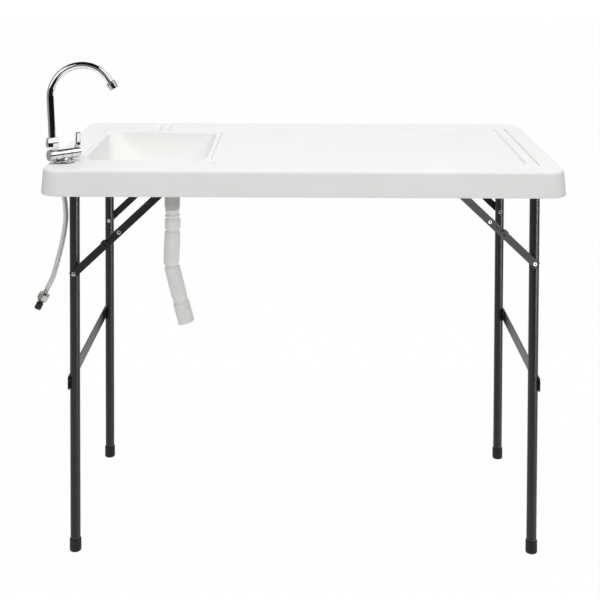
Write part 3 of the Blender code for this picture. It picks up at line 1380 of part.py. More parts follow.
def supply_hose(pieces, cutters):
    """The braided hose under the faucet, with its nuts, ferrule and quick adapter."""
    shank_end = TABLE_HEIGHT - SHANK_REACH
    grip = SHANK_RADIUS + RUN_GAP
    nut_top = HOSE_NUT_GRIP
    nut = hex_prism("hose_top_nut", HOSE_NUT_FLATS, nut_top - HOSE_NUT_HEIGHT, nut_top, pieces)
    nut.location = (FAUCET_X, FAUCET_Y, shank_end)
    socket = turned("hose_top_nut_bore", disc_profile(grip, -SEAT_GAP, nut_top + CUT_OVERRUN), cutters, 20)
    socket.location = nut.location
    boolean(nut, socket, "DIFFERENCE")
    finish(nut, NICKEL, 30)

    top = nut.location + Vector((0, 0, nut_top - HOSE_NUT_HEIGHT - SEAT_GAP))
    points = smooth_route(SUPPLY_ROUTE, 2.2 * HOSE_RADIUS)
    out = (points[-1] - points[-2]).normalized()
    hose = tube("supply_hose", points, HOSE_RADIUS, pieces, 3)
    hose.location = top
    finish(hose, BRAID)

    end = top + points[-1]
    start = SEAT_GAP
    profile = disc_profile(FERRULE_RADIUS, -start - FERRULE_LENGTH, -start)
    ferrule = turned("hose_ferrule", profile, pieces, 18)
    aim(ferrule, end, -out)
    finish(ferrule, NICKEL)
    start += FERRULE_LENGTH + SEAT_GAP
    nut = hex_prism("hose_end_nut", END_NUT_FLATS, -start - END_NUT_LENGTH, -start, pieces)
    aim(nut, end, -out)
    bevel = nut.modifiers.new("edges", "BEVEL")
    bevel.width = END_NUT_FLATS / 12
    bevel.segments = 1
    finish(nut, NICKEL, 20)
    start += END_NUT_LENGTH + SEAT_GAP
    collar = start + ADAPTER_COLLAR_LENGTH
    neck = collar + ADAPTER_NECK_LENGTH
    tip = neck + ADAPTER_LENGTH
    lip = ADAPTER_NECK_LENGTH / 3
    profile = [
        (0, -start),
        (ADAPTER_COLLAR_RADIUS, -start),
        (ADAPTER_COLLAR_RADIUS, -collar),
        (ADAPTER_NECK_RADIUS, -collar - lip),
        (ADAPTER_NECK_RADIUS, -neck + lip),
        (ADAPTER_RADIUS, -neck),
        (ADAPTER_RADIUS, -tip),
        (ADAPTER_BORE, -tip),
        (ADAPTER_BORE, -collar),
        (0, -collar),
    ]
    adapter = turned("hose_adapter", profile, pieces, 18)
    aim(adapter, end, -out)
    finish(adapter, BLACK_PLASTIC, 30)


def build():
    clear_scene()
    pieces = new_collection("fish_cleaning_table")
    cutters = new_collection("cutters")
    tabletop(pieces, cutters)
    drain(pieces, cutters)
    drain_hose(pieces, cutters)
    leg_frames(pieces, cutters)
    faucet_body(pieces, cutters)
    foot, lean = fold_parts(pieces, cutters)
    spout(foot, lean, pieces, cutters)
    lever_parts(pieces)
    supply_hose(pieces, cutters)


build()
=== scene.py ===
import json
import math

import bpy
import numpy as np
from mathutils import Euler, Matrix, Vector

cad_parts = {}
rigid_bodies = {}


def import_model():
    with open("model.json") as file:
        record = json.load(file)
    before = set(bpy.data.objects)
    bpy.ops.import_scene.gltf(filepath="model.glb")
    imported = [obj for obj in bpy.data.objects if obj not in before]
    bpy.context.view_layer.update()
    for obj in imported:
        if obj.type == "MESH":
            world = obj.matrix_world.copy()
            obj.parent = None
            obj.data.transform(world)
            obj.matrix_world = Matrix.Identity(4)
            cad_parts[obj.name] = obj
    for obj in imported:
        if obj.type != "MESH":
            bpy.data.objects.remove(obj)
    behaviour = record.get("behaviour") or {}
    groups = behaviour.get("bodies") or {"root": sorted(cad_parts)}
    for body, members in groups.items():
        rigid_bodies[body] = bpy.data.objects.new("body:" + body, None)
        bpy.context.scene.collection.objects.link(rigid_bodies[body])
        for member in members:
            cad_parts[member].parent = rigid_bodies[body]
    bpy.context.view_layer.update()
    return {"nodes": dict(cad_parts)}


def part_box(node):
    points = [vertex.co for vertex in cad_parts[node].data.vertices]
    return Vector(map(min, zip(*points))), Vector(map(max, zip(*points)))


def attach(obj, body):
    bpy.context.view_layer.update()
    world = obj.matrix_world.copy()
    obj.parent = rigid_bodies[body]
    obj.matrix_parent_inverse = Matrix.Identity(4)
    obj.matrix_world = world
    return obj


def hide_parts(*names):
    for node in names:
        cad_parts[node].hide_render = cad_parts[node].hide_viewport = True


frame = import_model()


# Camera. It stands in front of the table, a little over chest height. Its film is almost upright
# and slid up behind the lens, as in a view camera, so the legs stay upright in the picture too. The
# slide is a slant of the camera in its stand; off the stand it is a plain camera.
scene = bpy.context.scene


def placed(name, data):
    """A new object of some data, in the scene."""
    thing = bpy.data.objects.new(name, data)
    scene.collection.objects.link(thing)
    return thing


# The picture's side, the point of it that the lens's axis meets and the lens's distance, in pixels;
# the camera's place, and its turns in degrees.
frame_side, film_axis, lens_distance = 600, (302.26, -39.57), 1161.75
camera_place = (0.0021, -2.7681, 1.3945)
looks_down, looks_left, rolled = 1.832, 0.144, 0.195
aim = Vector((film_axis[0] - frame_side / 2, frame_side / 2 - film_axis[1], lens_distance))
camera_data = bpy.data.cameras.new("camera")
camera_data.sensor_width = 36
camera_data.lens = aim.length / frame_side * camera_data.sensor_width
camera = placed("camera", camera_data)
level = Euler((math.radians(90 - looks_down), 0, math.radians(looks_left))).to_matrix()
roll = Euler((0, 0, math.radians(rolled))).to_matrix()
slant = Matrix.Identity(3)
slant.col[2] = aim.normalized()
camera.parent = placed("camera_stand", None)
camera.matrix_parent_inverse = (
    Matrix.Translation(camera_place) @ (level @ roll @ slant).to_4x4())
scene.camera = camera
scene.view_settings.view_transform = "Standard"


# Supply hose. A 12 mm braided steel hose hangs from the top nut under the faucet and curls outward
# at its end, where it is crimped into a ferrule.
def smooth_route(route, step):
    """Points about a step apart on a Catmull-Rom curve through the route's own points."""
    route = np.array(route, float)
    ends = np.vstack([2 * route[0] - route[1], route, 2 * route[-1] - route[-2]])
    t = (np.arange(24) / 24)[None, :, None]
    a, b, c, d = (ends[i : len(ends) - 3 + i, None, :] for i in range(4))
    squared, cubed = 2 * a - 5 * b + 4 * c - d, 3 * b - a - 3 * c + d
    fine = (2 * b + (c - a) * t + squared * t**2 + cubed * t**3) / 2
    fine = np.vstack([fine.reshape(-1, 3), route[-1]])
    length = np.concatenate([[0], np.cumsum(np.linalg.norm(np.diff(fine, axis=0), axis=1))])
    at = np.linspace(0, length[-1], max(2, round(length[-1] / step)) + 1)
    return np.stack([np.interp(at, length, fine[:, k]) for k in range(3)], axis=1), at


def meshed(name, points, faces, sharp_from=None):
    """An object of points and faces, smooth but for edges sharper than an angle in degrees."""
    mesh = bpy.data.meshes.new(name)
    mesh.from_pydata(np.reshape(points, (-1, 3)).tolist(), [], faces)
    if sharp_from is not None:
        mesh.shade_smooth()
        mesh.set_sharp_from_angle(angle=math.radians(sharp_from))
    return placed(name, mesh)


def grid_mesh(name, points, closed=True):
    """A surface from a grid of points (along, around, xyz): quads join its neighbours. A closed one
    joins its last column to its first, and one flat face closes each end."""
    index = np.arange(points[..., 0].size).reshape(points.shape[:2])
    left, right = (index, np.roll(index, -1, 1)) if closed else (index[:, :-1], index[:, 1:])
    quads = np.stack([left[:-1], left[1:], right[1:], right[:-1]], axis=-1)
    faces = quads.reshape(-1, 4).tolist()
    if closed:
        faces += [index[0].tolist(), index[-1][::-1].tolist()]
    return meshed(name, points, faces, 40)


def along_path(path, radii, around):
    """Circles of the given radii set square to a path: point + radius * (side * cos + other * sin),
    where side is carried along the path without twist and other is square to it."""
    path = np.array(path, float)
    tangent = np.gradient(path, axis=0)
    tangent /= np.linalg.norm(tangent, axis=1)[:, None]
    first = np.cross(tangent[0], (0, 1, 0))
    if np.linalg.norm(first) < 0.1:
        first = np.cross(tangent[0], (1, 0, 0))
    side = [first / np.linalg.norm(first)]
    for t in tangent[1:]:
        carried = side[-1] - t * np.dot(side[-1], t)
        side.append(carried / np.linalg.norm(carried))
    side = np.array(side)
    other = np.cross(tangent, side)
    angle = np.linspace(0, 2 * np.pi, around, endpoint=False)
    ring = side[:, None] * np.cos(angle)[:, None] + other[:, None] * np.sin(angle)[:, None]
    return path[:, None] + ring * np.reshape(radii, (-1, 1, 1))


def node_of(tree, kind, inputs):
    """A new shader node. Each input, by name or number, is linked to a socket or set to a value."""
    node = tree.nodes.new(f"ShaderNode{kind}")
    for key, value in inputs.items():
        if isinstance(value, bpy.types.NodeSocket):
            tree.links.new(value, node.inputs[key])
        else:
            node.inputs[key].default_value = value
    return node


def noise(tree, place, scale, detail, stretch=None):
    """A noise value over the surface; stretch scales its three axes."""
    if stretch is not None:
        place = node_of(tree, "Mapping", {"Scale": stretch, "Vector": place}).outputs["Vector"]
    texture = node_of(tree, "TexNoise", {
        "Scale": scale, "Detail": detail, "Roughness": 0.55, "Vector": place})
    return texture.outputs["Fac"]


def ramp(tree, value, low, high):
    """Carries a value from 0..1 on to a band between two colours or two numbers."""
    node = node_of(tree, "ValToRGB", {"Fac": value})
    for element, position, level in zip(node.color_ramp.elements, (0.3, 0.7), (low, high)):
        element.position = position
        element.color = (*level, 1) if isinstance(level, tuple) else (level, level, level, 1)
    return node.outputs["Color"]


def bump(tree, shader, value, distance, before=None):
    """Raises the surface by a value times a distance, over any earlier relief."""
    node = node_of(tree, "Bump", {"Distance": distance, "Strength": 1, "Height": value})
    if before is not None:
        tree.links.new(before, node.inputs["Normal"])
    tree.links.new(node.outputs["Normal"], shader.inputs["Normal"])
    return node.outputs["Normal"]


def finish(name, colour, roughness, metallic=0.0, tint=None, rough=None, relief=None, inside=None):
    """A new material, its tree, its shader and its object coordinates. A noise may vary its colour
    (tint: scale, detail, low, high) and its roughness (rough, likewise), or raise its surface
    (relief: scale, detail, distance). Inside is the weight and radius of light under its skin."""
    material = bpy.data.materials.new(name)
    material.use_nodes = True
    tree = material.node_tree
    shader = tree.nodes["Principled BSDF"]
    shader.inputs["Base Color"].default_value = (*colour, 1)
    shader.inputs["Roughness"].default_value = roughness
    shader.inputs["Metallic"].default_value = metallic
    place = node_of(tree, "TexCoord", {}).outputs["Object"]
    for socket, speckle in (("Base Color", tint), ("Roughness", rough)):
        if speckle is not None:
            scale, detail, low, high = speckle
            value = ramp(tree, noise(tree, place, scale, detail), low, high)
            tree.links.new(value, shader.inputs[socket])
    if relief is not None:
        scale, detail, distance = relief
        bump(tree, shader, noise(tree, place, scale, detail), distance)
    if inside is not None:
        weight, radius = inside
        shader.inputs["Subsurface Weight"].default_value = weight
        shader.inputs["Subsurface Radius"].default_value = radius
    return material, tree, shader, place


def maths(tree, operation, *values):
    """The result of a math node on sockets or numbers."""
    node = node_of(tree, "Math", dict(enumerate(values)))
    node.operation = operation
    return node.outputs[0]


def box_middle(node):
    """The middle of a CAD node's box."""
    low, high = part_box(node)
    return np.array((low + high) / 2)


hose_radius, braid_relief, end_gap = 0.006, 0.0002, 0.0003
hose_top = box_middle("hose_top_nut")
hose_top[2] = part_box("hose_top_nut")[0].z - end_gap
hose_route = hose_top + np.array([
    (0, 0, 0), (0, 0, -13), (0.6, 0, -27), (2.2, 0, -40), (3.5, 0, -53), (3.9, 0.1, -68),
    (2.8, 0.3, -83), (0.8, 0.5, -98), (-1.8, 0.6, -113), (-5, 0.7, -128), (-8.8, 0.7, -144),
    (-12.6, 0.7, -159), (-16.6, 0.6, -174), (-20.8, 0.4, -189), (-25.2, 0.2, -203),
    (-31.1, 0, -216.5), (-37.8, 0, -229.9)]) / 1000
hose_path, hose_at = smooth_route(hose_route, 0.002)
hose_around = 24
hose_grid = along_path(hose_path, hose_radius - braid_relief, hose_around)

# Its UV: half turns round it and back, and centimetres along it.
half_turns = np.abs(np.linspace(-1, 1, hose_around, endpoint=False))
hose_uv = np.stack(np.meshgrid(half_turns, hose_at * 100), axis=-1)
supply = grid_mesh("braided_supply_hose", hose_grid)
corners = np.empty(len(supply.data.loops), np.int32)
supply.data.loops.foreach_get("vertex_index", corners)
layer = supply.data.uv_layers.new(name="surface")
layer.data.foreach_set("uv", hose_uv.reshape(-1, 2)[corners].astype(np.float32).ravel())

# Its braid: two sets of flat wire bands that cross over and under each other, with shade painted
# between them.
braid, tree, shader, place = finish("steel_braid", (0.66, 0.66, 0.64), 0.3, 1.0)
surface = node_of(tree, "UVMap", {})
surface.uv_map = "surface"
split = node_of(tree, "SeparateXYZ", {0: surface.outputs["UV"]})
bands_round, bands_along = 6.0, 2.6
turns = maths(tree, "MULTIPLY", split.outputs["X"], bands_round)
rows = maths(tree, "MULTIPLY", split.outputs["Y"], bands_along)
one, two = (
    maths(tree, "ABSOLUTE", maths(tree, "SINE", maths(
        tree, "MULTIPLY", maths(tree, way, turns, rows), math.pi))) for way in ("ADD", "SUBTRACT"))
weave = maths(tree, "MAXIMUM", one, two)
# Painted shade: the steel's colour darkens towards each band's edges and where the bands cross,
# standing in for the shadow between the wires.
tree.links.new(ramp(tree, weave, (0.22, 0.22, 0.21), (0.88, 0.88, 0.85)),
               shader.inputs["Base Color"])
bump(tree, shader, weave, 0.0006)


# End fittings of the supply hose. A crimped ferrule, a nickel-plated hexagon nut and a black quick
# adapter are pushed and screwed on one after another.
def fit(piece, node, material, body="table"):
    """Gives a piece its material and its body, and hides the CAD node that it stands for, if any.
    """
    piece.data.materials.append(material)
    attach(piece, body)
    if node is not None:
        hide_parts(node)


def rounded(profile, radius):
    """The profile with each inner corner cut to a short curve that leaves its sides smoothly:
    start * (1 - t)^2 + 2 * corner * t * (1 - t) + end * t^2. It takes less than half of a side."""
    profile, most = np.array(profile, float), 0.45
    out = [profile[0]]
    for before, here, after in zip(profile[:-2], profile[1:-1], profile[2:]):
        back, on = before - here, after - here
        reach = min(radius, np.linalg.norm(back) * most, np.linalg.norm(on) * most)
        start = here + back / max(np.linalg.norm(back), 1e-9) * reach
        end = here + on / max(np.linalg.norm(on), 1e-9) * reach
        t = np.linspace(0, 1, 4)[:, None]
        out.extend(start * (1 - t) ** 2 + 2 * here * t * (1 - t) + end * t**2)
    out.append(profile[-1])
    return np.array(out)


def turned(name, node, material, place, axis, around, bend, profile,
           body="table", flats=0, flat_radius=None, phase=0.0):
    """A piece whose profile of (radius, height) in millimetres, listed from its top down and its
    corners bent by a radius, is carried round an axis through a place. Long runs get a row near
    each end, so that they shade flat. With flats, each ring is cut by a prism of that many sides at
    flat_radius from the axis, or is itself a polygon if no flat_radius is given."""
    row_gap, long_run = 0.3, 1
    profile = rounded(profile, bend) if bend else np.array(profile, float)
    run = np.diff(profile, axis=0)
    length = np.linalg.norm(run, axis=1)[:, None]
    hold = run / np.maximum(length, 1e-9) * row_gap
    rows = np.stack([profile[:-1], profile[:-1] + hold, profile[1:] - hold], axis=1)
    is_long = length > long_run
    kept = np.concatenate([np.ones_like(is_long), is_long, is_long], axis=1)
    profile = np.concatenate([rows[kept], profile[-1:]])
    angle = np.linspace(0, 2 * np.pi, around, endpoint=False)
    radius = np.broadcast_to(profile[:, :1], (len(profile), around))
    if flats:
        sector = 2 * np.pi / flats
        side = 1 / np.cos((angle + phase + sector / 2) % sector - sector / 2)
        facets = profile[:, :1] * math.cos(sector / 2) if flat_radius is None else flat_radius
        radius = np.minimum(radius, facets * side)
    upright = np.stack([
        radius * np.cos(angle), radius * np.sin(angle),
        np.broadcast_to(profile[:, 1:], radius.shape)], axis=-1) / 1000
    turn = np.array(Vector(axis).to_track_quat("Z", "Y").to_matrix())
    piece = grid_mesh(name, upright @ turn.T + Vector(place))
    fit(piece, node, material, body)
    return piece


def ring_profile(bore, face, rim, top, bottom, chamfer):
    """The outline of a nut or a ring: two flat faces, and a chamfer from each out to the rim."""
    return [(bore, top), (face, top), (rim, top - chamfer),
            (rim, bottom + chamfer), (face, bottom), (bore, bottom)]


hose_end = hose_path[-1]
hose_out = hose_path[-1] - hose_path[-2]
hose_out /= np.linalg.norm(hose_out)
nickel = finish("nickel_plate", (0.58, 0.555, 0.52), 0.24, 1.0,
                rough=(260, 3, 0.18, 0.34), relief=(900, 2, 0.00005))[0]
black_plastic = finish("black_plastic", (0.012, 0.012, 0.012), 0.42,
                       rough=(400, 3, 0.34, 0.52), relief=(1800, 2, 0.00006))[0]

# How far past the hose's end each fitting starts, in millimetres.
ferrule_start, nut_start, adapter_start = 0.3, 12.6, 26.9
ferrule = turned(
    "crimped_ferrule", "hose_ferrule", nickel, hose_end, -hose_out, 40, 0.4, np.array([
        (4.7, 0), (5.45, 0), (5.45, -2.2), (5, -3), (5, -4.2), (5.45, -5), (5.45, -7), (5, -7.8),
        (5, -9), (5.45, -9.8), (5.45, -12), (4.7, -12)]) - (0, ferrule_start))
end_nut = turned(
    "hexagon_hose_nut", "hose_end_nut", nickel, hose_end, -hose_out, 72, 0.3,
    ring_profile(7, 11.2, 13.3, -nut_start, -nut_start - 14, 1.3),
    flats=6, flat_radius=11.5, phase=math.radians(30))
adapter = turned(
    "black_quick_adapter", "hose_adapter", black_plastic, hose_end, -hose_out, 48,
    0.4, np.array([
        (4, 0), (9.3, 0), (9.3, -3.2), (5.6, -4.4), (5.6, -8.2), (7.8, -9.6), (7.8, -12.8),
        (7, -13.6), (7, -14.4), (7.8, -15.2), (7.8, -22.4), (7.2, -23), (4.2, -23), (4.2, -5),
        (1, -5)]) - (0, adapter_start))
fit(supply, "supply_hose", braid)


# Drain hose. A blow-moulded hose of smooth lengths between ribbed necks, where it bends, is pushed
# into the coupling under the sink and hangs open at its end.
drain_top = box_middle("drain_coupling")
drain_top[2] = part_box("drain_coupling")[0].z - end_gap

# Its middle line, across and up in millimetres; it hangs in one plane.
drain_route = drain_top + np.insert(np.array([
    (0, 0), (0.2, -12), (0.8, -26.5), (0.6, -50), (-0.5, -80), (-1.8, -107), (-2.2, -124),
    (-1, -137), (1.8, -150), (6, -166), (11.2, -187), (16.9, -209.5), (22.3, -230), (27.8, -250.5),
    (33.4, -271.5)]) / 1000, 1, 0, axis=1)
drain_path, drain_at = smooth_route(drain_route, 0.0008)

# Its outline in millimetres: how far along, and the radius there.
drain_shape = np.array([
    (0, 17.2), (2.2, 16.6), (5, 17.8), (8, 15), (11.8, 15), (14, 18.2), (17, 18.2), (19.2, 14.8),
    (21.8, 15), (23.5, 17.8), (25.5, 18.7), (45.5, 18.7), (47.5, 17.8), (49.2, 15), (52, 15),
    (53.7, 17.8), (55.7, 18.7), (92, 18.8), (128, 18.7), (130, 17.8), (131.8, 15), (135, 15),
    (136.8, 17.8), (138.8, 18.7), (173, 18.7), (208, 18.7), (210, 17.8), (211.8, 15.2), (214, 17.8),
    (216.3, 15.2), (218.6, 17.8), (221, 15.2), (223.2, 18.2), (225.2, 19.3), (248, 19.5),
    (273, 19.5)]) / 1000
drain_length = drain_at[-1]
drain_radii = np.interp(drain_at * drain_shape[-1, 0] / drain_length, *drain_shape.T)
soft = np.array([1, 3, 4, 3, 1]) / 12
drain_radii = np.convolve(np.pad(drain_radii, 2, "edge"), soft, "valid")
drain_around, bore_radius, bore_rows = 56, 0.0172, 90
outer = along_path(drain_path, drain_radii, drain_around)
bore = along_path(drain_path[-bore_rows:], bore_radius, drain_around)[::-1]
drain_grid = np.concatenate([outer, bore[:1], bore[::6]])
drain = grid_mesh("ribbed_drain_hose", drain_grid)
drain_plastic = finish("grey_white_hose_plastic", (0.9, 0.885, 0.86), 0.42,
                       tint=(30, 3, (0.875, 0.86, 0.835), (0.92, 0.905, 0.88)),
                       rough=(120, 3, 0.36, 0.5), relief=(260, 2, 0.00025),
                       inside=(0.08, (0.006, 0.005, 0.004)))[0]
fit(drain, "drain_hose", drain_plastic)


# Faucet body. A turned and chrome-plated brass barrel lies over a round flange; its left end folds
# with the spout, and its right end turns with the lever.
faucet_middle = np.array([-0.5299, -0.2138, 0.883])
faucet_turn = math.radians(40)
faucet_axis = np.array([math.cos(faucet_turn), math.sin(faucet_turn), 0])
faucet_side = np.array([-math.sin(faucet_turn), math.cos(faucet_turn), 0])
chrome = finish("polished_chrome", (0.8, 0.81, 0.82), 0.045, 1.0,
                rough=(55, 2, 0.035, 0.075), relief=(90, 1.0, 0.00004))[0]
black_rubber = finish("black_rubber", (0.018, 0.018, 0.018), 0.78,
                      rough=(500, 3, 0.68, 0.86), relief=(1500, 2, 0.0001))[0]


def along_barrel(distance):
    """The point of the barrel's axis that many millimetres to the right of its middle."""
    return faucet_middle + faucet_axis * distance / 1000


# The barrel's radius, then its ends and seams along its axis, in millimetres.
barrel, left_end, fold_seam, hub_seam, right_end = 12.25, -37.6, -8.9, 13.6, 37.6
up, flange_foot = (0, 0, 1), 0.865
deck = faucet_middle * (1, 1, 0) + (0, 0, flange_foot)
turned("flange_pad", "faucet_pad", black_rubber, deck, up, 64, 0.2, [
    (6.6, 1.6), (22.9, 1.6), (23.1, 1), (23.1, 0.4), (6.6, 0.4)])
turned("faucet_flange_plate", "faucet_flange", chrome, deck, up, 96, 0.8, [
    (0.2, 5.7), (16.5, 5.7), (20.5, 5.3), (23.5, 4.1), (24.4, 3), (24.4, 2.1), (22.8, 2.1),
    (0.2, 2.1)])
turned("faucet_barrel", "faucet_body", chrome, faucet_middle, faucet_axis, 72, 0,
       ring_profile(0.6, 11.9, barrel, hub_seam - 0.3, fold_seam + 0.2, 0.3))
turned("barrel_foot", None, chrome, deck, up, 64, 0.6, [
    (0.2, 11.5), (9.8, 11.5), (11, 8.6), (14, 6.6), (15, 6.2), (15, 5.9), (0.2, 5.9)])

# Under the deck: the threaded shank, its washer and lock nut, and the top nut of the supply hose.
pitch, thread_depth, threads = 0.7, 0.35, 55
thread = [(6.25 - thread_depth * (i % 2), -0.5 - pitch * i) for i in range(threads)]
turned("threaded_shank", None, nickel, deck, up, 32, 0,
       [(0.2, 0)] + thread + [(0.2, -38.9)])
turned("shank_washer_ring", "shank_washer", black_rubber, deck, up, 56, 0.2, [
    (6.6, -4.4), (14.3, -4.4), (14.5, -4.9), (14.3, -6.2), (6.6, -6.2)])
turned("shank_nut_hexagon", "shank_lock_nut", nickel, deck, up, 72, 0.2, [
    (6.6, -6.6), (11.2, -6.6), (12.9, -7.6), (12.9, -14.6), (11.2, -15.5), (6.6, -15.5)],
    flats=6, flat_radius=11.2)
low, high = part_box("hose_top_nut")
turned("hose_nut_hexagon", "hose_top_nut", nickel, (deck[0], deck[1], high.z), up, 72,
       0.2, ring_profile(5.8, 8.8, 10.1, 0, 1000 * (low.z - high.z), 1), flats=6, flat_radius=8.8)

# The folding end, its domed end cap, and the nut that clamps the spout: a barrel with eight flats.
fold_body, lean_back = "faucet_fold_section", math.radians(-5.5)
lean = Vector(up)
lean.rotate(Matrix.Rotation(lean_back, 3, Vector(faucet_axis)))
lean = np.array(lean)
spout_foot = along_barrel(left_end + 11)
turned("folding_barrel_end", "fold_elbow", chrome, faucet_middle, faucet_axis, 72, 0, [
    (0.6, fold_seam - 0.2), (11.9, fold_seam - 0.2), (barrel, fold_seam - 0.5),
    (barrel, left_end + 3), (12.1, left_end + 2.8), (0.6, left_end + 2.8)], fold_body)
turned("spout_socket", None, chrome, spout_foot, lean, 48, 0.4, [
    (0.2, 23.9), (7.6, 23.9), (7.7, 12), (9, 10.5), (9, 4), (0.2, 4)], fold_body)
turned("barrel_end_cap", "fold_end_cap", chrome, faucet_middle, faucet_axis, 72, 0.2, [
    (0.2, left_end + 2.5), (12.1, left_end + 2.5), (barrel, left_end + 2.3),
    (barrel, left_end + 0.8), (11.7, left_end + 0.1), (0.2, left_end + 0.1)],
    fold_body)
clamp = turned("spout_clamp_nut", "spout_nut", chrome, spout_foot, lean, 96, 1.2, [
    (8.7, 39.4), (11.4, 39.4), (12.5, 38.6), (14.5, 27.8), (14.3, 19.5), (12.7, 12.8),
    (9, 12.8)], fold_body, flats=8)


# Spout. A chrome-plated tube bent into a gooseneck, with a knurled aerator pushed over its end.
pipe_radius, pipe_foot = 0.0082, 0.0244
sweep, bend_radius, bend_height, tip_length = math.radians(149.8), 0.0696, 0.1241, 0.0132
forward = (1, 0, 0) - lean * lean[0]
forward /= np.linalg.norm(forward)
bend = np.pi - sweep * np.linspace(0, 1, 80)
arch = np.stack([
    bend_radius * (1 + np.cos(bend)), bend_height + bend_radius * np.sin(bend)], axis=1)
outlet = np.array([math.sin(sweep), math.cos(sweep)])
rise = np.linspace(pipe_foot, bend_height, 12)[:-1]
straight = np.stack([np.zeros(len(rise)), rise], axis=1)
end_run = arch[-1] + outlet * np.linspace(0, tip_length, 5)[1:, None]
spout_line = np.concatenate([straight, arch, end_run])
spout_path = spout_foot + forward * spout_line[:, :1] + lean * spout_line[:, 1:]
pipe = grid_mesh("gooseneck_pipe", along_path(spout_path, pipe_radius, 48))
fit(pipe, "spout_pipe", chrome, "spout")

knurl_chrome = finish("knurled_chrome", (0.5, 0.51, 0.52), 0.16, 1.0,
                      rough=(300, 3, 0.1, 0.24), relief=(900, 2, 0.00004))[0]
spout_end = spout_path[-1]
spout_out = forward * outlet[0] + lean * outlet[1]
aerator_around = 96
aerator = turned("spout_aerator", "aerator", knurl_chrome, spout_end, -spout_out,
                 aerator_around, 0, [
    (8.6, 5.8), (10.1, 5.8), (11, 5), (11.2, 4), (11.2, 2.2), (10.7, 1.8), (10.7, 1.2), (11, 0.8),
    (10, -9.8), (9.6, -10.9), (7, -10.9), (7, -7), (0.2, -7)], "spout")

# The knurl: between its two heights, two of every four columns of the skin are drawn in.
knurl_low, knurl_high, knurl_inner, drawn_in = -0.0092, 0.0005, 0.0095, 0.955
column = np.arange(len(aerator.data.vertices)) % aerator_around
places = np.empty(len(column) * 3)
aerator.data.vertices.foreach_get("co", places)
places = places.reshape(-1, 3)
axis_height = (places - spout_end) @ -spout_out
off_axis = places - spout_end + np.outer(axis_height, spout_out)
outside = np.linalg.norm(off_axis, axis=1) > knurl_inner
knurled = outside & (axis_height < knurl_high) & (axis_height > knurl_low) & (column % 4 < 2)
off_axis = off_axis * np.where(knurled, drawn_in, 1)[:, None]
places = spout_end - np.outer(axis_height, spout_out) + off_axis
aerator.data.vertices.foreach_set("co", places.ravel())


# Valve hub and lever. The hub turns on the barrel; a flat cast lever stands on it, held by a screw.
turned("valve_barrel", "valve_hub", chrome, faucet_middle, faucet_axis, 72, 0, [
    (0.2, right_end - 0.1), (11.2, right_end - 0.1), (barrel, right_end - 1),
    (barrel, hub_seam + 0.6), (11.9, hub_seam + 0.3), (0.6, hub_seam + 0.3)], "valve")


def plate_grid(name, rows, thickness, origin, along, outward):
    """A flat cast plate. Each row (height, left and right edge in millimetres, share of the
    thickness) is a loop round an oblong: |cos|^0.35 across and |sin|^0.5 through."""
    angle = np.linspace(0, 2 * np.pi, 40, endpoint=False)
    cos, sin = np.cos(angle), np.sin(angle)
    across = np.sign(cos) * np.abs(cos) ** 0.35
    through = np.sign(sin) * np.abs(sin) ** 0.5
    height, left, right, share = (rows / np.array([1000, 1000, 1000, 1])).T[..., None]
    sideways = (left + right) / 2 + (right - left) / 2 * across
    deep = thickness / 2 * share * through
    place = (origin + np.multiply.outer(sideways, along) + np.multiply.outer(deep, outward)
             + np.multiply.outer(np.broadcast_to(height, deep.shape), up))
    return grid_mesh(name, place)


lever_inset, lever_forward, lever_thickness = 4.5, 0.0035, 0.0044
screw_height, screw_forward = 0.01955, 0.00225
lever_at = along_barrel(right_end - lever_inset) - faucet_side * lever_forward
lever_rows = [
    (12.6, -9.3, 6, 0.9), (12.9, -9.4, 6.1, 1), (14.2, -9, 6.1, 1), (16, -7.5, 6.1, 1),
    (18.5, -6.3, 6.1, 1), (22, -6, 6, 1), (30, -6, 6, 0.95), (38, -6, 6, 0.85),
    (42.5, -5.9, 5.9, 0.8), (44.5, -5.3, 5.3, 0.72), (45.7, -4, 4, 0.6), (46.2, -2, 2, 0.4),
]
lever = plate_grid("valve_lever_blade", lever_rows, lever_thickness, lever_at,
                   faucet_axis, -faucet_side)
fit(lever, "valve_lever", chrome, "valve")
screw_at = lever_at - faucet_side * screw_forward + (0, 0, screw_height)
turned("lever_screw_cap", "lever_screw", black_plastic, screw_at, -faucet_side,
       40, 0, [(0.2, 1.3), (1.6, 1.8), (2.7, 1.7), (3.6, 1), (3.8, 0.4), (3.8, 0.35), (0.2, 0.35)],
       "valve")


# Drain fittings. Under the sink a rubber gasket and a grey hexagon nut hold the steel strainer's
# tail, and a glossy moulded coupling is screwed on below and carries the hose.
def dressed(name, material):
    """Gives a carried-over CAD node its material."""
    slots = frame["nodes"][name].data.materials
    slots.clear()
    slots.append(material)


def drain_seat(node):
    """Where the drain's axis meets a node's top, and how high its foot is from there, in
    millimetres."""
    low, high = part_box(node)
    return (drain_top[0], drain_top[1], high.z), 1000 * (low.z - high.z)


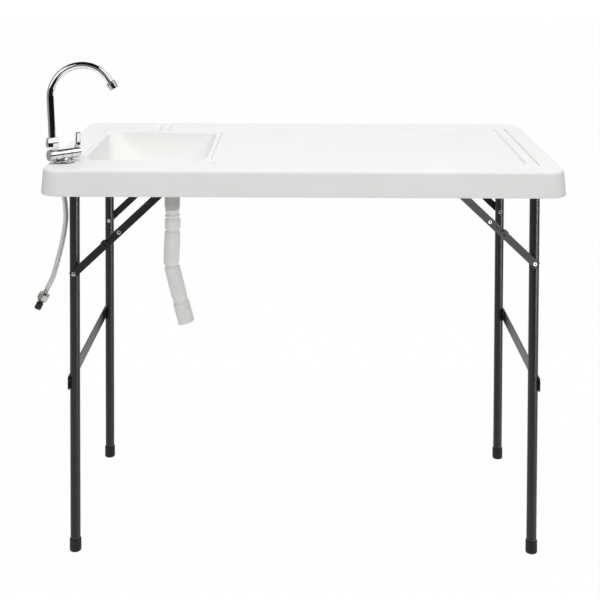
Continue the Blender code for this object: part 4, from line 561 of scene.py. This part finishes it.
grey_plastic = finish("glossy_grey_plastic", (0.54, 0.52, 0.495), 0.2,
                      tint=(45, 3, (0.52, 0.5, 0.475), (0.56, 0.54, 0.515)),
                      rough=(200, 3, 0.14, 0.26), relief=(140, 1, 0.00012),
                      inside=(0.05, (0.004, 0.0035, 0.003)))[0]
steel, tree, shader, place = finish("brushed_strainer_steel", (0.6, 0.6, 0.59), 0.27, 1.0)
brushed = (1.0, 0.05, 1.0)
tree.links.new(ramp(tree, noise(tree, place, 700, 2, stretch=brushed), 0.2, 0.38),
               shader.inputs["Roughness"])
bump(tree, shader, noise(tree, place, 900, 2, stretch=brushed), 0.00004)
top, foot = drain_seat("drain_coupling")
turned("glossy_drain_coupling", "drain_coupling", grey_plastic, top, up, 96, 0.6, [
    (16, 0), (17.8, 0), (18.4, -0.8), (18.4, -14), (17.8, -14.6), (17.8, -15.6), (18.4, -16.2),
    (18.4, foot + 6.2), (17.5, foot + 5), (17.5, foot + 3.6), (16.8, foot + 2.6), (16.8, foot + 1),
    (16, foot), (13.3, foot)])
top, foot = drain_seat("drain_lock_nut")
turned("drain_hexagon_nut", "drain_lock_nut", grey_plastic, top, up, 96, 0.4,
       ring_profile(16, 25, 28.5, 0, foot, 1.5), flats=6, flat_radius=24.9)
top, foot = drain_seat("drain_gasket")
turned("drain_gasket_ring", "drain_gasket", black_rubber, top, up, 80, 0.2,
       ring_profile(16, 24.6, 24.9, 0, foot, 0.5))
top, foot = drain_seat("drain_strainer")
turned("strainer_rim", None, steel, top, up, 96, 0.4, [
    (15, 0.1), (17, 0.7), (29, 0.7), (30.8, -0.2), (31.3, -1.2), (30, -1.3), (15, -0.3)])
dressed("drain_strainer", steel)


# Leg frames. Round steel tubes with a dark, faintly hammered coat, in push-on feet of black
# plastic, tied by a flat strip and a cross tube that turns in the brackets.
coat, tree, shader, place = finish(
    "dark_hammered_coat", (0.012, 0.012, 0.012), 0.34,
    tint=(320, 2, (0.009, 0.009, 0.009), (0.016, 0.016, 0.0158)), rough=(700, 2, 0.3, 0.42))
shader.inputs["Specular IOR Level"].default_value = 0.36
edges = node_of(tree, "Bevel", {"Radius": 0.0005})
edges.samples = 4
bump(tree, shader, noise(tree, place, 420, 2), 0.0003, before=edges.outputs["Normal"])
cap_plastic, tree, shader, place = finish("foot_plastic", (0.009, 0.009, 0.009), 0.48,
                                          rough=(300, 3, 0.4, 0.6), relief=(1300, 2, 0.0001))
shader.inputs["Specular IOR Level"].default_value = 0.3
zinc = finish("bright_zinc", (0.58, 0.59, 0.6), 0.24, 1.0,
              rough=(350, 2, 0.17, 0.36), relief=(800, 2, 0.00008))[0]


def rivet_head(name, at, outward, height, body):
    """A low domed rivet head with a set centre, turned from shares of its radius and height."""
    radius, centre_hole = 4.9, 0.2
    shares = np.array([
        (0.0, 0.42), (0.3, 0.46), (0.42, 0.96), (0.56, 1.0), (0.8, 0.82), (0.97, 0.42), (1.0, 0.12),
        (1.0, 0.0),
    ])
    profile = np.maximum(shares * (radius, height), (centre_hole, 0.0))
    turned(name, None, zinc, at, outward, 32, 0, profile, body)


# The tubes and the heads' heights are turned and so in millimetres, and the rest is in metres.
leg_radius, leg_bore, leg_foot, leg_drop = 11.1, 9.6, 4.6, 4
cross_bore, cross_half, cross_bevel = 10.5, 238.6, 0.6
rivet_drop, brace_slope, lower_arm = 0.197, math.radians(43.2011), 0.1375
leg_rivet_y, leg_rivet_height = 0.2419, 1.5
elbow_rivet_y, elbow_rivet_height = 0.2462, 1.95
foot_cap_profile = [
    (11.2, 26.8), (12.4, 27), (12.9, 26.4), (12.9, 22.5), (12.6, 21.9), (12.6, 20.7), (12.9, 20.1),
    (13, 3), (12.4, 0.8), (11.2, 0.1), (0.2, 0.1),
]
for side, sign in (("left", -1), ("right", 1)):
    leg_body = f"{side}_leg_frame"
    dressed(f"{side}_crossbar", coat)
    dressed(f"{side}_cross_tube", coat)
    low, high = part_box(f"{side}_cross_tube")
    pivot = (low.z + high.z) / 2
    cross_at = (box_middle(f"{side}_cross_tube")[0], 0, pivot)
    turned(f"{side}_cross_tube_skin", None, coat, cross_at, (0, 1, 0), 48, 0, [
        (cross_bore, cross_half), (leg_radius, cross_half - cross_bevel),
        (leg_radius, cross_bevel - cross_half), (cross_bore, -cross_half)], leg_body)
    for face, way in (("front", -1), ("rear", 1)):
        name = f"{side}_{face}"
        x, y = box_middle(f"{name}_leg")[:2]
        leg_top = 1000 * pivot - leg_drop
        turned(f"{name}_leg_tube", f"{name}_leg", coat, (x, y, 0), up, 56, 0, [
            (leg_bore, leg_top), (leg_radius, leg_top), (leg_radius, leg_foot),
            (leg_bore, leg_foot)], leg_body)
        turned(f"{name}_foot", f"{name}_foot_cap", cap_plastic, (x, y, 0), up,
               64, 0.5, foot_cap_profile, leg_body)
        for part in ("upper_arm", "lower_arm", "bracket"):
            dressed(f"{name}_{part}", coat)
        for part in ("leg_rivet", "brace_pin", "pivot_bolt"):
            dressed(f"{name}_{part}", zinc)
        outward = (0, way, 0)
        down = np.array([sign * math.cos(brace_slope), 0, -math.sin(brace_slope)])
        leg_end = np.array([x, way * leg_rivet_y, pivot - rivet_drop])
        rivet_head(f"{name}_leg_rivet_head", leg_end, outward, leg_rivet_height,
                   f"{name}_lower_arm_body")
        elbow = leg_end - down * lower_arm
        elbow[1] = way * elbow_rivet_y
        rivet_head(f"{name}_elbow_rivet_head", elbow, outward, elbow_rivet_height,
                   f"{name}_upper_arm_body")


# Tabletop. One blow-moulded shell of white polyethylene: a deck with a sink basin, a raised bead
# round it, a sunk work field and drip channels, and an apron turned in at its foot.
half_length, half_width, top_corner = 0.57, 0.3, 0.042
apron_depth, apron_draft, edge_round, foot_round = 0.058, 0.004, 0.009, 0.003
skin, apron_wall, lip_reach = 0.004, 0.0042, 0.014
sink_middle, sink_half, sink_corner = (-0.3535, -0.0235), (0.134, 0.167), 0.036
sink_depth, bead_width, bead_height, bead_short = 0.085, 0.0127, 0.0035, 0.016
deck_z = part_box("tabletop")[1].z - bead_height

# The cove at the basin's foot: its reach inward, its ellipse's first angle, how much further it
# draws in at the front and back, how fast its corners widen, and the depth that it starts at.
cove_reach, cove_start, cove_stretch, corner_growth, lip_drop = 0.059, 0.55, 0.5, 2.4, 0.004
drain_middle, floor_fall, fall_start, fall_run = (-0.312, -0.0235), 0.002, 0.12, 0.086
field_low, field_high = np.array([(-0.2065, -0.232), (0.4945, 0.2375)])
field_middle, field_half = (field_low + field_high) / 2, (field_high - field_low) / 2
groove_middle, groove_half, groove_corner = (0.518, -0.00625), (0.0016, 0.22825), 0.0012
channel_middle, channel_half, channel_corner = (-0.357, 0.279), (0.012, 0.106), 0.001
field_sunk, line_depth, seam_depth, groove_depth = 0.0004, 0.0026, 0.001, 0.0024
channel_depth, channel_side_depth, outer_lip, field_corner = 0.002, 0.003, -0.0046, 0.03

# How wide the cut lines and the soft edges are, and where the field's line fades along the bead.
line_width, side_width, seam_width, groove_edge, edge = 0.0026, 0.0013, 0.0011, 0.0008, 0.0016
fade_from, fade_length, fade_margin = -0.198, 0.014, 0.012


def bands(*stops):
    """Grid lines from each stop to the next, at the step that stands between them."""
    out = [np.arange(a, b, step) for a, step, b in zip(stops[::2], stops[1::2], stops[2::2])]
    return np.append(np.concatenate(out), stops[-1])


def rounded_box(x, y, middle, half, corner):
    """Signed distance to a rectangle with round corners, negative inside."""
    p = np.abs(x - middle[0]) - (half[0] - corner)
    q = np.abs(y - middle[1]) - (half[1] - corner)
    return np.hypot(np.maximum(p, 0), np.maximum(q, 0)) + np.minimum(np.maximum(p, q), 0) - corner


def sink_inset(x, y):
    """How far inside the sink's mouth each point is, along rings whose corners widen and that draw
    in further at the front and back: found by halving, as the distance to a ring only grows."""
    low, high = np.full(x.shape, -0.05), np.full(x.shape, 0.12)
    for _ in range(26):
        inset = (low + high) / 2
        half_x = sink_half[0] - inset
        half_y = sink_half[1] - inset - cove_stretch * np.maximum(inset, 0)
        corner = np.minimum(sink_corner + inset * corner_growth, np.minimum(half_x, half_y))
        outside = rounded_box(x, y, sink_middle, (half_x, half_y), corner) > 0
        low, high = np.where(outside, low, inset), np.where(outside, inset, high)
    return (low + high) / 2


def sink_drop(inset, x, y, wall):
    """Depth of the basin's inner face, or of its outer face a wall away, by its inset: part of an
    ellipse from the sloping side to the level floor, which falls a little to the drain."""
    turn = np.linspace(cove_start, np.pi / 2, 18)
    insets = cove_reach * (1 - np.cos(turn) / math.cos(cove_start)) - wall * np.cos(turn)
    bowl = (np.sin(turn) - math.sin(cove_start)) / (1 - math.sin(cove_start))
    depths = lip_drop + (sink_depth - lip_drop) * bowl + wall * np.sin(turn)
    if wall:
        insets = np.append([outer_lip, outer_lip + 0.0003], insets)
        depths = np.append([0.0, skin], depths)
    drop = np.interp(inset, insets, depths)
    away = np.hypot(x - drain_middle[0], y - drain_middle[1])
    fall = floor_fall * np.clip((fall_start - away) / fall_run, 0, 1)
    return drop + fall * (inset > cove_reach - 0.001 - wall)


def step_down(distance, width):
    """A soft step from 0 to 1 as a signed distance goes from plus to minus half a width."""
    t = np.clip(0.5 - distance / width, 0, 1)
    return t * t * (3 - 2 * t)


def groove(distance, middle, width):
    """A round groove, 0 to 1: exp(-((distance - middle) / width)^2)."""
    return np.exp(-(((distance - middle) / width) ** 2))


def deck_lines(x, y, inset):
    """The lines cut in the deck, each 0 to 1: round the work field, beside it, the channel's sides
    and the seam along the bead; then the field and the channel themselves."""
    to_field = rounded_box(x, y, field_middle, field_half, field_corner)
    line = groove(to_field, -line_width, line_width)
    fade = np.clip((fade_from - y) / fade_length, 0, 1)
    line = line * np.maximum(x > field_low[0] + fade_margin, fade)
    to_groove = rounded_box(x, y, groove_middle, groove_half, groove_corner)
    side_groove = step_down(to_groove, groove_edge)
    to_channel = rounded_box(x, y, channel_middle, channel_half, channel_corner)
    channel_side = groove(to_channel, -0.001, side_width)
    seam = groove(-inset - bead_width, 0.001, seam_width)
    seam = seam * (y > sink_middle[1] - sink_half[1] + 0.01) * (x < field_low[0] + 0.004)
    field, channel = step_down(to_field, edge), step_down(to_channel, edge)
    return line, side_groove, channel_side, seam, field, channel


def deck_height(x, y):
    """Height of the deck's upper side: its plane, less the field, lines and channel, plus the bead
    (1 - off^2)^0.8; from its crest inward a quarter round down to the basin."""
    inset = sink_inset(x, y)
    line, side_groove, channel_side, seam, field, channel = deck_lines(x, y, inset)
    z = -field_sunk * field - line_depth * line
    off = (-inset - bead_width / 2) / (bead_width / 2)
    past_end = np.maximum(0, (sink_middle[1] - sink_half[1] + bead_short - y) / (bead_width / 2))
    bead = bead_height * np.clip(1 - off**2 - past_end**2, 0, 1) ** 0.8
    crest = bead_height * np.clip(1 - past_end**2, 0, 1) ** 0.8
    over_lip = np.clip(1 + inset / (bead_width / 2), 0, 1)
    lip = crest - (crest + lip_drop) * (1 - np.sqrt(1 - over_lip**2))
    z = z + bead - seam_depth * seam - groove_depth * side_groove
    z = z - channel_depth * channel - channel_side_depth * channel_side
    inside = np.where(inset > 0, -sink_drop(inset, x, y, 0), lip)
    return deck_z + np.where(inset > -bead_width / 2, inside, z)


def deck_underside(x, y):
    """Height of the deck's lower side: a plane, a skin below the deck, and the basin's outside."""
    inset = sink_inset(x, y)
    bowl = np.where(inset > outer_lip, sink_drop(inset, x, y, skin), skin)
    return deck_z - np.maximum(skin, bowl)


# Grid lines, close together where the shape changes.
across = bands(
    -0.557, 0.004, -0.529, 0.005, -0.506, 0.0011, -0.481, 0.0018, -0.455, 0.003, -0.436, 0.0085,
    -0.372, 0.0008, -0.366, 0.009, -0.348, 0.0008, -0.342, 0.0085, -0.271, 0.003, -0.252, 0.0018,
    -0.2265, 0.0011, -0.2002, 0.002, -0.174, 0.0125, 0.46, 0.0022, 0.486, 0.0009, 0.4965, 0.004,
    0.5155, 0.0006, 0.5205, 0.0035, 0.529, 0.004, 0.557)
deep = bands(
    -0.287, 0.004, -0.259, 0.004, -0.2352, 0.0009, -0.2235, 0.0022, -0.199, 0.0011, -0.177, 0.0018,
    -0.155, 0.003, -0.098, 0.008, 0.048, 0.003, 0.108, 0.0018, 0.1315, 0.0011, 0.172, 0.005,
    0.204, 0.0022, 0.219, 0.0011, 0.2245, 0.0022, 0.229, 0.0009, 0.24, 0.004, 0.259, 0.004,
    0.287)

# The flat grid's corners are drawn in to round ones.
flat_x, flat_y = np.meshgrid(across, deep, indexing="ij")
edge_inset = apron_draft + edge_round
corner = top_corner - edge_inset
a = np.clip((np.abs(flat_x) - (half_length - edge_inset - corner)) / corner, 0, 1)
b = np.clip((np.abs(flat_y) - (half_width - edge_inset - corner)) / corner, 0, 1)
reach = np.hypot(a, b)
squeeze = np.where(reach > 0, np.maximum(a, b) / np.maximum(reach, 1e-9), 1)
deck_x = np.sign(flat_x) * (np.abs(flat_x) - a * corner + a * squeeze * corner)
deck_y = np.sign(flat_y) * (np.abs(flat_y) - b * corner + b * squeeze * corner)
index = np.arange(deck_x.size).reshape(deck_x.shape)
upper = np.stack([deck_x, deck_y, deck_height(deck_x, deck_y)], axis=-1)
lower = np.stack([deck_x, deck_y, deck_underside(deck_x, deck_y)], axis=-1)
quads = np.stack([
    index[:-1, :-1], index[1:, :-1], index[1:, 1:], index[:-1, 1:]], axis=-1).reshape(-1, 4)
rim = np.concatenate([index[:-1, 0], index[-1, :-1], index[:0:-1, -1], index[0, :0:-1]])
outward = np.stack([np.sign(flat_x) * a, np.sign(flat_y) * b], axis=-1).reshape(-1, 2)[rim]
outward /= np.linalg.norm(outward, axis=1)[:, None]

# The apron is a profile of (inset, height) carried round the deck's rim, out over the round edge,
# down the drafted face, in under the foot and up the inside.
turn = np.radians(np.linspace(90, 0, 9)[1:])
over = np.stack([
    apron_draft + edge_round * (1 - np.cos(turn)), -edge_round * (1 - np.sin(turn))], axis=1)
face = np.linspace((apron_draft, -edge_round), (0, foot_round - apron_depth), 7)[1:]
foot = np.stack([
    foot_round * (1 - np.sin(turn)), foot_round * (1 - np.cos(turn)) - apron_depth], axis=1)
inner_face, foot_top = apron_draft + apron_wall, -apron_depth + apron_wall
inner = np.array([
    (lip_reach - 0.0008, -apron_depth), (lip_reach, -apron_depth + 0.0008), (lip_reach, foot_top),
    (apron_wall + 0.003, foot_top + 0.001), (apron_wall + 0.0006, foot_top + 0.004),
    (inner_face, -skin - 0.006), (inner_face + 0.0012, -skin - 0.0018),
])
rings = np.concatenate([over, face, foot, inner])
rim_place = np.stack([deck_x.ravel()[rim], deck_y.ravel()[rim]], axis=1)
ring_xy = rim_place[None] + outward[None] * (edge_inset - rings[:, 0])[:, None, None]
ring_z = np.broadcast_to(deck_z + rings[:, 1][:, None], ring_xy.shape[:2]).copy()

# The channel runs out over the rear edge.
from_channel = np.abs(ring_xy[..., 0] - channel_middle[0]) - channel_half[0]
notch = step_down(from_channel, edge) * (ring_xy[..., 1] > 0)
shallow = ring_z > deck_z - edge_round
ring_z = np.where(shallow, np.minimum(ring_z, deck_z - channel_depth * notch), ring_z)
apron = np.concatenate([ring_xy, ring_z[..., None]], axis=-1)
count = deck_x.size
ring_index = 2 * count + np.arange(apron.shape[0] * apron.shape[1]).reshape(apron.shape[:2])
chain = np.vstack([rim[None], ring_index, rim[None] + count])
following = np.roll(chain, -1, axis=1)
sides = np.stack([chain[:-1], chain[1:], following[1:], following[:-1]], axis=-1).reshape(-1, 4)
top_points = np.concatenate([upper.reshape(-1, 3), lower.reshape(-1, 3), apron.reshape(-1, 3)])
top_faces = np.concatenate([quads, quads[:, ::-1] + count, sides])
tabletop = meshed("moulded_tabletop", top_points, top_faces.tolist(), 50)
# The cut lines are stored on the deck's upper points, to paint shade into them.
cut = np.zeros(len(top_points), np.float32)
lines = sum(deck_lines(deck_x, deck_y, sink_inset(deck_x, deck_y))[:4])
cut[:count] = np.clip(lines, 0, 1).ravel()
tabletop.data.attributes.new("painted_groove_shade", "FLOAT", "POINT").data.foreach_set("value", cut)

# Painted shade: its plastic's colour is a little darker in the cut lines, standing in for the
# shadow in the grooves.
white_plastic, tree, shader, place = finish(
    "white_polyethylene", (0.83, 0.835, 0.82), 0.46, rough=(60, 3, 0.42, 0.52),
    inside=(0.06, (0.006, 0.006, 0.005)))
painted_groove_shade = node_of(tree, "Attribute", {})
painted_groove_shade.attribute_name = "painted_groove_shade"
whites = ramp(tree, noise(tree, place, 9, 3), (0.82, 0.826, 0.81), (0.84, 0.844, 0.832))
shade_in_grooves = ramp(tree, painted_groove_shade.outputs["Fac"], 1.0, 0.82)
shaded = node_of(tree, "VectorMath", {0: whites, 1: shade_in_grooves})
shaded.operation = "MULTIPLY"
tree.links.new(shaded.outputs[0], shader.inputs["Base Color"])
sag = bump(tree, shader, noise(tree, place, 14, 1.0), 0.001)
bump(tree, shader, noise(tree, place, 900, 2), 0.00016, before=sag)
fit(tabletop, "tabletop", white_plastic)

# Ribs moulded under the work field stiffen it: three along the table and five across.
rib_low, rib_high = deck_z - skin - 0.014, deck_z - skin + 0.001
rib_left, rib_right, rib_y, rib_half = field_low[0] + skin, field_high[0], 0.18, 0.002
long_y = rib_y * (2 * np.arange(1, 4) / 4 - 1)
cross_x = rib_left + (rib_right - rib_left) * np.arange(1, 6) / 6
rib_boxes = [
    ((rib_left, y - rib_half, rib_low), (rib_right, y + rib_half, rib_high)) for y in long_y]
rib_boxes += [
    ((x - rib_half, -rib_y, rib_low + 0.0003), (x + rib_half, rib_y, rib_high - 0.0003))
    for x in cross_x]
unit = np.array([(x, y, z) for x in (0, 1) for y in (0, 1) for z in (0, 1)], float)
unit_faces = np.array([
    (0, 1, 3, 2), (4, 6, 7, 5), (0, 4, 5, 1), (2, 3, 7, 6), (0, 2, 6, 4), (1, 5, 7, 3)])
rib_lows, rib_highs = (np.array(ends) for ends in zip(*rib_boxes))
rib_points = rib_lows[:, None] + unit[None] * (rib_highs - rib_lows)[:, None]
rib_faces = unit_faces[None] + 8 * np.arange(len(rib_boxes))[:, None, None]
ribs = meshed("deck_ribs", rib_points, rib_faces.reshape(-1, 4).tolist())
soft_edges = ribs.modifiers.new("soft_edges", "BEVEL")
soft_edges.width = 0.0008
soft_edges.segments = 2
fit(ribs, None, white_plastic)


# Floor and backdrop. One white paper sweep under and behind the table. The camera and mirrors see
# it nearly as bright as white can be, and it keeps the table's shadow.
def seen_as(tree, plain, seen, share, kinds, output):
    """Mixes a share of the seen shader into the plain one, for some kinds of rays."""
    rays = node_of(tree, "LightPath", {}).outputs
    factor = rays[f"Is {kinds[0]} Ray"]
    for kind in kinds[1:]:
        factor = maths(tree, "MAXIMUM", factor, rays[f"Is {kind} Ray"])
    factor = maths(tree, "MULTIPLY", factor, share)
    mix = node_of(tree, "MixShader", {0: factor, 1: plain.outputs[0], 2: seen.outputs[0]})
    tree.links.new(mix.outputs[0], tree.nodes[output].inputs["Surface"])


paper, tree, shader, place = finish("white_paper", (0.9, 0.9, 0.9), 0.9)
glow = node_of(tree, "Emission", {"Color": (1, 1, 1, 1)})
seen_as(tree, shader, glow, 0.98, ("Camera", "Glossy", "Transmission"), "Material Output")
floor = meshed("floor", [(-14, -14, 0), (14, -14, 0), (14, 14, 0), (-14, 14, 0)], [(0, 1, 2, 3)])
floor.data.materials.append(paper)


# Dark studio round the camera, for glossy rays only: black walls and ceiling in front and to the
# right, a grey wall to the left, and lit panels. A low strip draws the streak on the four legs;
# cards light the lever with the clamp nut, and the right front arms with their rivets.
def reflected_panel(name, sideways, upward, distance, level, glow, centre=(-0.5, -0.2, 1.0)):
    """A part of a sphere about a centre, azimuth sideways from the front and elevation upward, in
    degrees: centre + reach * (cos e sin a, -cos e cos a, sin e). Its reach ends at the floor."""
    turn, rise = np.meshgrid(
        np.radians(np.linspace(*sideways, 25)), np.radians(np.linspace(*upward, 13)))
    floor_gap = 0.003
    to_floor = (centre[2] - floor_gap) / np.maximum(-np.sin(rise), 1e-6)
    reach = np.minimum(distance, to_floor)[..., None]
    flat = np.cos(rise)
    way = np.stack([flat * np.sin(turn), -flat * np.cos(turn), np.sin(rise)], axis=-1)
    panel = grid_mesh(name, np.array(centre) + reach * way, closed=False)
    material, _, shader, _ = finish(name, (level, level, level), 0.95)
    shader.inputs["Emission Color"].default_value = (1, 1, 1, 1)
    shader.inputs["Emission Strength"].default_value = glow
    panel.data.materials.append(material)
    panel.visible_camera = panel.visible_diffuse = False
    panel.visible_shadow = panel.visible_transmission = False
    return panel


black, grey = 0.008, 0.5
reflected_panel("dark_front", (-48, 128), (-19, 89), 9, black, 0.0)
reflected_panel("dark_ceiling", (128, 312), (50, 89), 9, black, 0.0)
reflected_panel("grey_left_wall", (-150, -48), (-19, 50), 9.2, 0.02, 0.3)
reflected_panel("left_panel", (-76, -22), (8, 42), 7, grey, 1.0)
reflected_panel("front_panel", (-22, 12), (7, 18), 7, grey, 0.45)
reflected_panel("right_panel", (55, 106), (14, 66), 7, grey, 1.1)
reflected_panel("right_panel_edge", (33, 55), (27, 56), 7, grey, 1.1)
among_legs, before_arms = (0, -0.23, 0.48), (0.45, -0.245, 0.75)
low_strip = reflected_panel("low_strip", (53, 64), (-6.5, -0.5), 4.2, black, 135, among_legs)
lever_card = reflected_panel("lever_card", (56, 84), (-19, -3), 2.4, black, 1.0)
arm_card = reflected_panel("arm_card", (-20, 28), (-40, 8), 1.5, black, 3.6, before_arms)
legs = [bpy.data.objects[f"{side}_{face}_leg_tube"]
        for side in ("left", "right") for face in ("front", "rear")]
arms = [frame["nodes"][f"right_front_{part}_arm"] for part in ("upper", "lower")]
arms += [bpy.data.objects[f"right_front_{part}_rivet_head"] for part in ("elbow", "leg")]
for panel, pieces in ((low_strip, legs), (lever_card, [lever, clamp]), (arm_card, arms)):
    lit = panel.light_linking.receiver_collection = bpy.data.collections.new(f"lit_by_{panel.name}")
    for piece in pieces:
        lit.objects.link(piece)


# Light. A white room, a large soft box overhead and a weaker one from the camera's side.
room_strength = 0.42
world = bpy.data.worlds.new("room")
scene.world = world
world.use_nodes = True
tree = world.node_tree
background = tree.nodes["Background"]
background.inputs["Color"].default_value = (1, 1, 1, 1)
background.inputs["Strength"].default_value = room_strength
white = node_of(tree, "Background", {"Color": (1, 1, 1, 1), "Strength": 1})
seen_as(tree, background, white, 1.0, ("Camera", "Glossy"), "World Output")


def soft_box(name, place, target, size, power):
    """A rectangular lamp at a place, turned to a target, that no mirror sees."""
    lamp = bpy.data.lights.new(name, "AREA")
    lamp.shape = "RECTANGLE"
    lamp.size, lamp.size_y = size
    lamp.energy = power
    holder = placed(name, lamp)
    turn = (Vector(target) - Vector(place)).to_track_quat("-Z", "Y")
    holder.matrix_world = Matrix.Translation(place) @ turn.to_matrix().to_4x4()
    holder.visible_glossy = False


soft_box("overhead_soft_box", (0, -0.4, 4.2), (0, 0, 0.8), (4, 3), 99)
soft_box("front_soft_box", (0.8, -3.6, 1.8), (0, 0, 0.6), (2, 1.6), 27)
